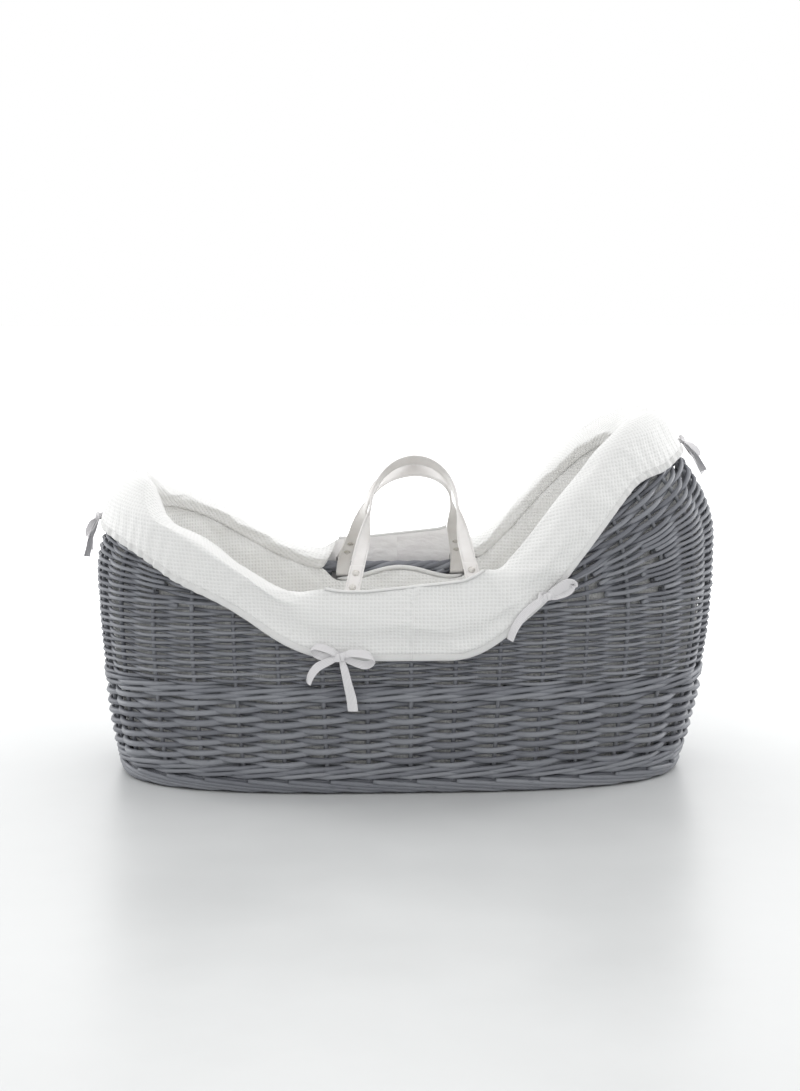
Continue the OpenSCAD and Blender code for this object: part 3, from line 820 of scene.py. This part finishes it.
def cloth_ways(u, up):
    """Where each point lies in the uncut cloth, whose threads hang plumb on the sides."""
    spot = rim_point(u)
    steps = np.linalg.norm(np.diff(spot[:, :2], axis=0), axis=1)
    run = np.append(0, np.cumsum(steps)) + u[0] * GIRTH[-1] / STAKES
    slope = np.gradient(spot[:, 2]) / np.maximum(np.gradient(run), 1e-6)
    size = np.sqrt(1 + slope**2)
    across = run[:, None] - up * (slope / size)[:, None]
    height = spot[:, 2][:, None] + up / size[:, None]
    return np.stack([across, height, np.zeros_like(across)], -1)


def gathers(u, x, below):
    """Ripples of the gathered edge, strongest towards both ends; below is the way up from it."""
    strength = smooth((np.abs(x) - 170) / 120)
    ripple = np.sin(2 * np.pi * u * 3.1) + 0.6 * np.sin(2 * np.pi * u * 5.3 + 1)
    return 1.3 * (strength * ripple)[:, None] * np.exp(-np.maximum(below, 0) / 16)


def lumps(rng, u, way, size, count=14):
    """Soft unevenness of the padding, as a sum of slow waves."""
    total = np.zeros_like(way)
    for _ in range(count):
        turns, rate, phase = rng.integers(5, 30), rng.uniform(0.01, 0.05), rng.uniform(0, 6)
        total += np.sin(2 * np.pi * turns * u[:, None] / STAKES + rate * way + phase)
    return size * total / math.sqrt(count)


def flap(name, seed, first, last):
    """Half of the padded roll with its outer flap, between the two side seams."""
    rng = np.random.default_rng(seed)
    near_seams = [first + 0.01, first + 0.05, first + 0.1, last - 0.1, last - 0.05, last - 0.01]
    u = np.sort(np.append(np.linspace(first, last, 171), near_seams))
    loops, ways, outer_count = flap_loops(u)
    x = rim_point(u)[:, 0]
    below = ways + hem_drop(x)[:, None]
    on_outer = np.arange(loops.shape[1])[None] < outer_count
    seam = smooth((u - first) / 0.1) * smooth((last - u) / 0.1)
    soft = smooth(below / 12) * on_outer * seam[:, None]
    puff = lumps(rng, u, ways, 0.6) * soft - 0.8 * (1 - seam)[:, None] * smooth(below / 12) * on_outer
    pleat = gathers(u, x, below) * on_outer
    middle = loops.mean(axis=1, keepdims=True)
    radial = unit(loops - middle)
    loops = loops + radial * puff[..., None]
    loops[..., 0] += pleat
    points = by_rim(u[:, None], loops[..., 0], loops[..., 1]).reshape(-1, 3)
    cloth = cloth_ways(u, ways).reshape(-1, 3)
    piece = put_mesh(name + "_pad", points, grid_faces(len(u), loops.shape[1]), LINEN, cloth=cloth)
    held = np.broadcast_to((~on_outer) | (below < 3), loops.shape[:2]).copy()
    held[:, outer_count - 2 :] = True
    held[0] = True
    held[-1] = True
    inflate(piece, held.ravel(), 2.0, 0.012, 3)
    backs = np.arange(loops.shape[1]) >= outer_count
    piece.data.materials.append(LINEN_BACK)
    kinds = np.append(np.tile(backs, len(u) - 1), [False, False])
    piece.data.polygons.foreach_set("material_index", kinds.astype(np.int32))
    subdivide(piece)
    attach(piece, "basket", "liner_fabric", name)


def rim_tube(name, u, out, up, wide, deep, sides, around):
    """Bound edge that follows the rim; around is how far its cloth reaches per radian."""
    turn = np.linspace(0, 2 * np.pi, sides, endpoint=False)
    points = by_rim(u[:, None], out + wide * np.cos(turn)[None], up + deep * np.sin(turn)[None])
    cloth = cloth_grid(u[:, None] * 52, turn * around)
    return put_mesh(name, points.reshape(-1, 3), grid_faces(len(u), sides), BINDING, cloth=cloth)


def flap_edge(name, first, last):
    """Piping along the top of the standing flap at a slit."""
    u = np.linspace(first, last, 80)
    up = (28.6 * slit_taller(rim_point(u)[:, 0]))[:, None]
    piece = rim_tube(name, u, 13.4, up, 2.1, 2.1, 10, 2)
    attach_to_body(piece, "basket")


def rim_band(name, u, outer, inner, material, slot, cad_node, thick_ripple=None):
    """Thin band that follows the rim, from outer and inner rows of out and up."""
    loops = np.concatenate([outer, inner[:, ::-1]], axis=1)
    if thick_ripple is not None:
        loops[..., 0] += thick_ripple
    points = by_rim(u[:, None], loops[..., 0], loops[..., 1]).reshape(-1, 3)
    cloth = cloth_ways(u, loops[..., 1]).reshape(-1, 3)
    piece = put_mesh(name, points, grid_faces(len(u), loops.shape[1]), material, cloth=cloth)
    return attach(piece, "basket", slot, cad_node)


def hem(name, first, last):
    """Folded binding along the lower edge of a flap."""
    u = np.linspace(first, last, 520)
    x = rim_point(u)[:, 0]
    drop = hem_drop(x)[:, None]
    outer = np.array([(3.4, -8.2), (5.2, -7.6), (6.2, -5), (6.6, -2), (6.9, 0.4), (6.2, 1.6)])
    inner = np.array([(2.0, -8.0), (1.4, -5), (1.4, 0.8)])
    outer = np.stack([outer[None, :, 0] + 0 * drop, outer[None, :, 1] - drop], -1)
    inner = np.stack([inner[None, :, 0] + 0 * drop, inner[None, :, 1] - drop], -1)
    ripple = gathers(u, x, np.zeros((len(u), 1)))
    piece = rim_band(name + "_binding", u, outer, inner, BINDING, "binding", name, ripple)


def slit_binding(name, first, last):
    """Binding on the lining's top edge behind a handle slit."""
    u = np.linspace(first, last, 60)
    ends = np.sqrt(np.clip(1 - np.abs(np.linspace(-1, 1, 60)) ** 8, 0.05, 1))[:, None]
    up = 2.3 - lining_drop(u)[:, None]
    piece = rim_tube(name + "_tape", u, -LINING_D - 4, up, 4.2 * ends, 3.2 * ends, 12, 4)
    attach(piece, "basket", "binding", name)


def wall_column(u, share, out, drop, z_low):
    """Point on the wall part of the way up from z_low to a distance below the rim."""
    spot, _, rise = rim_frame(u)
    q = spot - np.asarray(drop)[..., None] * rise
    top = np.degrees(np.arctan2(q[..., 1], q[..., 0]))
    start = bearing(u)
    turn = np.mod(top - start + 180, 360) - 180
    return skin(start + turn * share, mix(z_low, q[..., 2], share), out)


def liner_wall():
    """Padded lining inside the wicker, from the floor up to the roll."""
    rng = np.random.default_rng(31)
    count, tall, back = 260, 30, 8
    u = np.linspace(0, STAKES, count, endpoint=False)
    share = np.concatenate([np.linspace(0, 1, tall), np.linspace(1, 0, back)])
    front = np.arange(tall + back) < tall
    drop = lining_drop(u)[:, None]
    x = rim_point(u)[:, 0]
    folds = np.sin(u[:, None] * 2.1 + 3 * share[None]) * np.sin(u[:, None] * 0.7 + 1)
    free = smooth((share - 0.25) / 0.2) * smooth((1 - share) / 0.12)
    depth = 1.6 * folds + lumps(rng, u, share[None] * 200 + 0 * folds, 0.8)
    depth = depth * free[None] * smooth((np.abs(x)[:, None] - 40) / 120)
    out = np.where(front[None], -LINING_D - LINING_T - depth - 1.5 * free[None], -LINING_D + 0 * depth)
    z_low = LINER_Z + LINER_FLOOR_T + 0.3
    points = wall_column(u[:, None], share[None], out, drop, z_low)
    cloth = cloth_grid(u[:, None] * GIRTH[-1] / STAKES, points[..., 2])
    faces = grid_faces(count, tall + back, ring_rows=True)
    piece = put_mesh("liner_wall_pad", points.reshape(-1, 3), faces, LINEN, cloth=cloth)
    held = np.broadcast_to(~(front & (share > 0.28) & (share < 0.97)), out.shape)
    inflate(piece, held.ravel(), 2.0, 0.03, 4)
    subdivide(piece)
    attach(piece, "basket", "liner_fabric", "liner_wall")


def outline(reach_head, reach_foot, half, count, power=BASE_POWER):
    """Superellipse outline with its own reach to each end."""
    t = np.linspace(0, 2 * np.pi, count, endpoint=False)
    c, s = np.cos(t), np.sin(t)
    reach = np.where(c > 0, reach_head, reach_foot)
    r = ((np.abs(c) / reach) ** power + (np.abs(s) / half) ** power) ** (-1 / power)
    return np.stack([r * c, r * s], -1)


def pad_points(edge, middle_x, rings, low, high, crown, quilt):
    """Closed crowned pad: rings of its top, a rounded side, and rings of its underside."""
    share = np.linspace(0.02, 1, rings)
    top, under = [], []
    for s in share:
        xy = edge * s
        swell = (1 - s**4) * crown
        lines = np.minimum(np.abs(np.sin(np.pi * (xy[:, 0] + xy[:, 1]) / quilt)),
                           np.abs(np.sin(np.pi * (xy[:, 0] - xy[:, 1]) / quilt)))
        dip = 2.0 * (1 - smooth(lines / 0.35)) * smooth((1 - s) / 0.12)
        round_off = 1.6 * max(0, (s - 0.965) / 0.035) ** 2
        top.append(np.column_stack([xy, high + swell - dip - round_off]))
        under.append(np.column_stack([xy, np.full(len(xy), low + round_off)]))
    rows = [*top]
    for t in (0.25, 0.5, 0.75):
        bulge = 1 + 0.004 * math.sin(math.pi * t)
        rows.append(np.column_stack([edge * bulge, np.full(len(edge), mix(high - 1.6, low + 1.6, t))]))
    rows += under[::-1]
    points = np.array(rows)
    points[..., 0] += middle_x
    return points


def liner_floor():
    edge = outline(HEAD_BASE - LINING_D, FOOT_BASE - LINING_D, BASE_HALF - LINING_D, 180)
    points = pad_points(edge, 0, 26, LINER_Z, LINER_Z + LINER_FLOOR_T, 0, 60)
    cloth = points * [1, 1, 0] + [0, 0, 1]
    faces = grid_faces(len(points), len(edge))
    piece = put_mesh("liner_floor_pad", points.reshape(-1, 3), faces, LINEN, cloth=cloth.reshape(-1, 3))
    attach(piece, "basket", "liner_fabric", "liner_floor")


def mattress():
    """Quilted mattress with piping along its top and bottom edges."""
    low = LINER_Z + LINER_FLOOR_T + 0.6
    high = low + MATTRESS_H - 0.4
    middle = (HEAD_BASE - FOOT_BASE) / 2
    edge = outline(MATTRESS_L / 2 - 0.6, MATTRESS_L / 2 - 0.6, MATTRESS_W / 2 - 0.6, 240)
    points = pad_points(edge, middle, 60, low, high, 3, 64)
    cloth = (points * [1, 1, 0] + points[..., 2:] * [0.3, 0.3, 0]).reshape(-1, 3)
    faces = grid_faces(len(points), len(edge))
    piece = put_mesh("mattress_cover_pad", points.reshape(-1, 3), faces, QUILT, cloth=cloth)
    ring = np.arange(len(points))
    held = np.broadcast_to((ring > 56)[:, None], points.shape[:2])
    inflate(piece, held.ravel(), 2.0, 0.01, 3)
    subdivide(piece)
    attach(piece, "mattress", "mattress_fabric", "mattress_cover")
    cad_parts["mattress_core"].material_slots[0].material = FOAM
    for name, z in (("mattress_piping_top", high - 2.2), ("mattress_piping_bottom", low + 2.2)):
        path = np.column_stack([edge * 1.002 + [middle, 0], np.full(len(edge), z)])
        path = np.concatenate([path, path[:2]])
        out = unit(path - [middle, 0, z])
        turn = np.arange(8) * np.pi / 4
        tube = path[:, None] + 1.7 * round_ring(turn, out, np.array([[0, 0, 1.0]]))
        cloth = cloth_grid(np.arange(len(path))[:, None] * 7.0, turn * 2)
        piping = put_mesh(name, tube.reshape(-1, 3), grid_faces(len(path), 8), BINDING, cloth=cloth)
        piping.parent = piece
        piping.matrix_parent_inverse = piece.matrix_world.inverted()


# ---------------- ribbon ties


def ribbon(points, widths, twists, spread):
    """Grid of a flat ribbon through points (across, up, out), and its length.

    The width lies in the wall's plane, square to the ribbon's way, and each twist turns it.
    """
    path = spline(points, 8)
    width = spline(np.array(widths, float)[:, None], 8)[:, 0]
    twist = np.radians(spline(np.array(twists, float)[:, None], 8)[:, 0])[:, None]
    along = unit(np.gradient(path, axis=0))
    side = unit(np.cross(np.array([0, 0, 1.0]), along) + 1e-6)
    face = np.cross(along, side)
    c, s = np.cos(twist), np.sin(twist)
    side, face = c * side + s * face, c * face - s * side
    run = run_along(path)
    share = np.linspace(-1, 1, 7)
    cup = spread * (1 - share**2)
    top = (path[:, None] + side[:, None] * (share * 0.5)[None, :, None] * width[:, None, None]
           + face[:, None] * (cup + 0.35)[None, :, None])
    under = top - face[:, None] * 0.7
    loops = np.concatenate([top, under[:, ::-1]], axis=1)
    across = np.concatenate([share, share[::-1]])[None] * width[:, None] / 2
    return loops, cloth_grid(run[:, None], across), run[-1]


def knot_ribbon(size):
    """The turn of ribbon that ties the knot."""
    turn = np.linspace(0, 2 * np.pi, 9)
    points = np.column_stack([size * 0.62 * np.sin(turn), size * 0.1 * np.sin(2 * turn),
                              4 + size * 0.5 * np.cos(turn)])
    return points, [size] * 9, [0] * 9, 0.8


def bow_parts():
    left_loop = [(0, 0, 4), (-14, 9, 8), (-28, 13, 9), (-34, 8, 6), (-26, 1, 3), (-10, -2, 3), (0, 0, 3)]
    right_loop = [(0, 0, 4), (14, 5, 9), (32, 3, 9), (40, -5, 6), (30, -11, 3), (12, -6, 3), (0, 0, 3)]
    left_tail = [(-2, -2, 3), (-14, -6, 6), (-27, -13, 5), (-35, -24, 3), (-38, -34, 2)]
    right_tail = [(1, -3, 4), (5, -16, 6), (9, -34, 5), (13, -52, 3), (15, -68, 2)]
    return [
        (left_loop, [6, 9, 10, 7, 9, 8, 6], [20, 40, 60, 120, 170, 170, 180], 0.5),
        (right_loop, [6, 9, 11, 8, 10, 8, 6], [-10, -30, -50, -110, -160, -170, -180], 0.5),
        (left_tail, [6, 9, 10.5, 10.5, 10], [0, 10, 25, 40, 60], 0.8),
        (right_tail, [6, 9, 10.5, 12, 13], [0, -10, 5, 10, 20], 0.8),
        knot_ribbon(10),
    ]


def plain_parts():
    loop = [(0, 0, 4), (12, 8, 7), (26, 15, 8), (34, 14, 5), (27, 7, 3), (12, 0, 3), (0, -1, 3)]
    tail = [(-1, -1, 4), (-12, -8, 6), (-26, -20, 5), (-37, -36, 4), (-43, -52, 2)]
    return [
        (loop, [6, 12, 15, 13, 14, 9, 6], [10, 15, 25, 100, 165, 175, 180], 0.6),
        (tail, [7, 9, 10, 10, 9], [0, 10, 20, 35, 45], 0.9),
        knot_ribbon(9),
    ]


def end_parts():
    first = [(0, 2, 3), (3, -12, 5), (6, -28, 5), (8, -44, 3), (9, -54, 2)]
    second = [(-1, 2, 3), (-4, -12, 5), (-9, -26, 6), (-11, -38, 4), (-10, -48, 2)]
    loop = [(0, 0, 4), (-7, -10, 9), (-6, -24, 10), (1, -30, 7), (6, -20, 4), (4, -8, 3), (0, 0, 3)]
    return [
        (first, [7, 10, 11, 11, 11], [0, 15, 30, 35, 40], 0.8),
        (second, [7, 9, 10, 10, 10], [0, -15, -25, -40, -60], 0.8),
        (loop, [6, 9, 10, 8, 9, 8, 6], [10, 40, 70, 110, 150, 170, 180], 0.5),
        knot_ribbon(8),
    ]


def tie(name, u, parts, flip=False):
    """Ties of ribbon at a place on the hem, whose parts lie along the wall."""
    drop = float(hem_drop(rim_point(u)[0]))
    spot = by_rim(u, 9.0, -drop)
    phi = math.degrees(math.atan2(spot[1], spot[0]))
    side = unit(wall(phi + 0.5, spot[2]) - wall(phi - 0.5, spot[2]))
    up = unit(spot - skin(phi, spot[2] - 52, 10.5))
    out = unit(np.cross(side, up))
    up = np.cross(out, side)
    axes = np.array([-side if flip else side, up, out])
    points, cloths, faces, total, length = [], [], [], 0, 0.0
    for way, widths, twists, spread in parts:
        loops, cloth, run = ribbon(way, widths, twists, spread)
        columns = loops.shape[1]
        faces += shifted(grid_faces(len(loops), columns), total)
        points.append((loops @ axes + spot).reshape(-1, 3))
        cloths.append(cloth)
        total += len(loops) * columns
        length += run
    if flip:
        faces = [f[::-1] for f in faces]
    cloth = np.concatenate(cloths)
    piece = put_mesh(name + "_ribbon", np.concatenate(points), faces, RIBBON, cloth=cloth)
    attach(piece, "basket", "tie_ribbon", name)
    piece.data.shade_flat()


def ties():
    foot_u, head_u = 25.5, 29.5
    tie("tie_near_foot", foot_u, bow_parts())
    tie("tie_near_head", head_u, plain_parts())
    tie("tie_far_foot", STAKES - foot_u, bow_parts(), flip=True)
    tie("tie_far_head", STAKES - head_u, plain_parts(), flip=True)
    tie("tie_head", 0.0, end_parts())
    tie("tie_foot", STAKES / 2, end_parts())


# ---------------- handles


def border_at(x):
    """Middle of the rim border on the near side, at x."""
    low, high = place_at(x, True) - 0.3, place_at(x, True) + 0.3
    u = np.linspace(low, high, 61)
    middle = border_middle(u)[0]
    return np.array([np.interp(x, middle[:, 0], middle[:, axis]) for axis in range(3)])


LEG_A, LEG_B = border_at(LEG_X_FOOT), border_at(LEG_X_HEAD)
PIVOT = (LEG_A + LEG_B) / 2
PIVOT_AXIS = unit(LEG_B - LEG_A)
LEG_HALF = float(np.linalg.norm(LEG_B - LEG_A)) / 2
HANDLE_LEAN = math.asin((-PIVOT[1] - STRAP_W / 2 * 0.74 - HANDLE_GAP) / ARCH_REACH)
UP_LEG = np.array([0, math.sin(HANDLE_LEAN), math.cos(HANDLE_LEAN)])
OFF_LEG = np.array([0, -math.cos(HANDLE_LEAN), math.sin(HANDLE_LEAN)])
ARCH_CENTRE = ARCH_REACH - ARCH_RISE


def leg_x(s):
    return mix(LEG_HALF, ARCH_HALF, min(1, max(0, (s - STRAIGHTEN) / (ARCH_CENTRE - STRAIGHTEN))))


def arch_x(s):
    return ARCH_SHIFT * min(1, max(0, s / ARCH_REACH))


def on_handle(x, s, w):
    return PIVOT + x * PIVOT_AXIS + s * UP_LEG + w * OFF_LEG


def leg_sections(side):
    """Middle, width way and thickness way of the strap along one leg, from its tail."""
    rows = []

    def add(x, s, w, turn, face):
        turn = math.radians(turn)
        width = side * math.cos(turn) * PIVOT_AXIS + math.sin(turn) * OFF_LEG
        thick = math.cos(turn) * face + side * math.sin(turn) * PIVOT_AXIS
        rows.append((on_handle(x, s, w), width, thick))

    for s, w in ((75, 1.4), (70, 1.4), (56, 1.4), (42, 1.4), (28, 3.4)):
        add(side * leg_x(s) + arch_x(s), s, w, 0, OFF_LEG)
    for a in range(50, 311, 20):
        c, d = math.cos(math.radians(a)), math.sin(math.radians(a))
        add(side * LEG_HALF, STRAP_LOOP_R * c, STRAP_LOOP_R * d, 0, c * UP_LEG + d * OFF_LEG)
    for s, w in ((28, -3.4), (42, -1.4), (63, -1.4), (84, -1.4), (TWIST_FROM, -1.4)):
        add(side * leg_x(s) + arch_x(s), s, w, 0, -OFF_LEG)
    for j in range(1, 6):
        s = mix(TWIST_FROM, TWIST_TO, j / 5)
        add(side * leg_x(s) + arch_x(s), s, mix(-1.4, 0, j / 5), 90 * j / 5, -OFF_LEG)
    return rows


def arch_sections():
    rows = []
    for degrees in range(170, 9, -8):
        a = math.radians(degrees)
        s = ARCH_CENTRE + ARCH_RISE * math.sin(a)
        radial = unit(ARCH_RISE * math.cos(a) * PIVOT_AXIS + ARCH_HALF * math.sin(a) * UP_LEG)
        rows.append((on_handle(ARCH_HALF * math.cos(a) + arch_x(s), s, 0), OFF_LEG, radial))
    return rows


def strap_sections():
    return spline(np.array(leg_sections(-1) + arch_sections() + leg_sections(1)[::-1]), 4)


def to_far_side(points):
    """The far handle mirrors the near one and lies a little lower, under it."""
    turn = math.radians(-FAR_TUCK)
    arm = points - PIVOT
    along = (arm @ PIVOT_AXIS)[:, None] * PIVOT_AXIS
    turned = along + math.cos(turn) * (arm - along) + math.sin(turn) * np.cross(PIVOT_AXIS, arm)
    return (PIVOT + turned) * [1, -1, 1]


def stitches(sections, body, name, far):
    """Two rows of small stitches, one along each edge of the strap, on both faces."""
    middle, width, thick = sections[:, 0], unit(sections[:, 1]), unit(sections[:, 2])
    run = run_along(middle)
    points, faces, ways, total = [], [], [], 0
    turn = np.arange(6) * np.pi / 3
    for edge in (-1, 1):
        for side in (-1, 1):
            for at in np.arange(4, run[-1] - 4, 4.2):
                spots = at + np.array([-1.5, -0.8, 0, 0.8, 1.5])
                c, w, t = (np.stack([np.interp(spots, run, way[:, i]) for i in range(3)], -1)
                           for way in (middle, width, thick))
                w, t = unit(w), unit(t)
                c = c + w * edge * (STRAP_W / 2 - 2.2) + t * side * (STRAP_T / 2 - 0.1)
                size = np.array([0.05, 0.38, 0.45, 0.38, 0.05])[:, None, None]
                points.append((c[:, None] + size * round_ring(turn, w, t)).reshape(-1, 3))
                ways.append(np.column_stack([np.repeat(spots, 6), np.tile(turn, 5), np.zeros(30)]))
                faces += shifted(grid_faces(5, 6), total)
                total += 30
    points = np.concatenate(points)
    points = to_far_side(points) if far else points
    piece = put_mesh(name + "_stitches", points, faces, THREAD, cloth=np.concatenate(ways))
    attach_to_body(piece, body)


def strap(name, body, far):
    """Flat strap with rounded, slightly raised edges."""
    sections = strap_sections()
    middle, width, thick = sections[:, 0], unit(sections[:, 1]), unit(sections[:, 2])
    turn = np.linspace(0, 2 * np.pi, 24, endpoint=False)
    c, s = np.cos(turn), np.sin(turn)
    across = STRAP_W / 2 * np.sign(c) * np.abs(c) ** 0.35
    raised = 1 - 0.12 * smooth((np.abs(across) / (STRAP_W / 2) - 0.7) / 0.1)
    deep = STRAP_T / 2 * np.sign(s) * np.abs(s) ** 0.5 * raised
    loops = middle[:, None] + width[:, None] * across[None, :, None]
    loops = loops + thick[:, None] * deep[None, :, None]
    points = loops.reshape(-1, 3)
    faces = grid_faces(len(loops), len(turn))
    if far:
        points = to_far_side(points)
        faces = [f[::-1] for f in faces]
    piece = put_mesh(name + "_leather", points, faces, STRAP)
    attach(piece, body, "strap", name)
    stitches(sections, body, name, far)


def cad_materials():
    """Materials of the CAD nodes that stay in view."""
    for name, cad_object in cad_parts.items():
        if "rivet" in name:
            cad_object.material_slots[0].material = METAL
        if "base_stick" in name:
            cad_object.material_slots[0].material = WICKER


# ---------------- stage, light and camera


def make_floor():
    bpy.ops.mesh.primitive_plane_add(size=14, location=(0, 2.5, -0.0006))
    floor = bpy.context.object
    floor.name = "floor"
    floor.data.materials.append(floor_material())


def add_light(name, place, target, size, power):
    data = bpy.data.lights.new(name, "AREA")
    data.shape = "RECTANGLE"
    data.size, data.size_y = size
    data.energy = power
    light = bpy.data.objects.new(name, data)
    light.location = place
    light.rotation_euler = (Vector(target) - Vector(place)).to_track_quat("-Z", "Y").to_euler()
    bpy.context.scene.collection.objects.link(light)


def make_lights():
    world = bpy.data.worlds.new("studio")
    world.use_nodes = True
    world.node_tree.nodes["Background"].inputs["Color"].default_value = (1, 1, 1, 1)
    world.node_tree.nodes["Background"].inputs["Strength"].default_value = 1.0
    bpy.context.scene.world = world
    add_light("back_light", (0.2, 2.2, 1.5), (0, 0.2, 0.1), (3.0, 1.6), 24)
    add_light("top_light", (0, 0.3, 2.2), (0, 0, 0), (2.0, 1.2), 3)
    add_light("side_light_foot", (-1.8, 0.7, 0.7), (-0.3, 0, 0.15), (0.7, 0.7), 10)
    add_light("side_light_head", (1.8, 0.7, 0.7), (0.3, 0, 0.2), (0.7, 0.7), 10)


def make_camera():
    """Camera in front of the basket's long side, a little above it and to the foot end."""
    distance, height, lens = 2.5, 0.7019, 89.46
    pitch, yaw, pan, roll = (math.radians(a) for a in (9.621, -3.064, -0.236, 0.118))
    forward = Vector((-math.sin(yaw), math.cos(yaw), 0))
    place = -forward * distance + Vector((MIDDLE_X * MM, 0, height))
    right = Vector((forward.y, -forward.x, 0))
    level = forward * math.cos(pan) + right * math.sin(pan)
    right = right * math.cos(pan) - forward * math.sin(pan)
    look = level * math.cos(pitch) - Vector((0, 0, math.sin(pitch)))
    up = right.cross(look)
    rolled_right = right * math.cos(roll) + up * math.sin(roll)
    rolled_up = up * math.cos(roll) - right * math.sin(roll)
    data = bpy.data.cameras.new("camera")
    data.lens = lens
    data.sensor_width = 36
    data.sensor_fit = "HORIZONTAL"
    data.clip_start = 0.05
    camera = bpy.data.objects.new("camera", data)
    camera.matrix_world = Matrix((
        (rolled_right.x, rolled_up.x, -look.x, place.x),
        (rolled_right.y, rolled_up.y, -look.y, place.y),
        (rolled_right.z, rolled_up.z, -look.z, place.z),
        (0, 0, 0, 1),
    ))
    bpy.context.scene.collection.objects.link(camera)
    bpy.context.scene.camera = camera


# ---------------- the whole object


make_camera()
make_lights()
make_floor()
bpy.context.scene.view_settings.view_transform = "Standard"

foot_border()
wales()
lower_weave()
end_z, end_row = upper_weave_sides()
upper_weave_end("upper_weave_head_rods", 18, end_z, end_row, 0, RIM_LOW + HEAD_RISE, 0.5, 150)
upper_weave_end("upper_weave_foot_rods", 19, end_z, end_row, STAKES / 2, RIM_LOW + FOOT_RISE, 0.3, 85)
rim_border()
stakes("stakes_head", 21, -4, 4)
stakes("stakes_far", 22, 5, 13)
stakes("stakes_foot", 23, 14, 22)
stakes("stakes_near", 24, 23, 31)
base_weave()
cad_materials()

liner_floor()
liner_wall()
flap("flap_head", 41, -9.01, 9.01)
flap("flap_foot", 42, 8.99, 27.01)
hem("hem_head", -9.0, 9.0)
hem("hem_foot", 9.0, 27.0)
flap_edge("flap_edge_near", 25.0, 29.0)
flap_edge("flap_edge_far", 7.5, 10.5)
slit_binding("slit_binding_near", 25.5, 28.5)
slit_binding("slit_binding_far", 7.5, 10.5)
ties()
mattress()

strap("near_strap", "near_handle", far=False)
strap("far_strap", "far_handle", far=True)
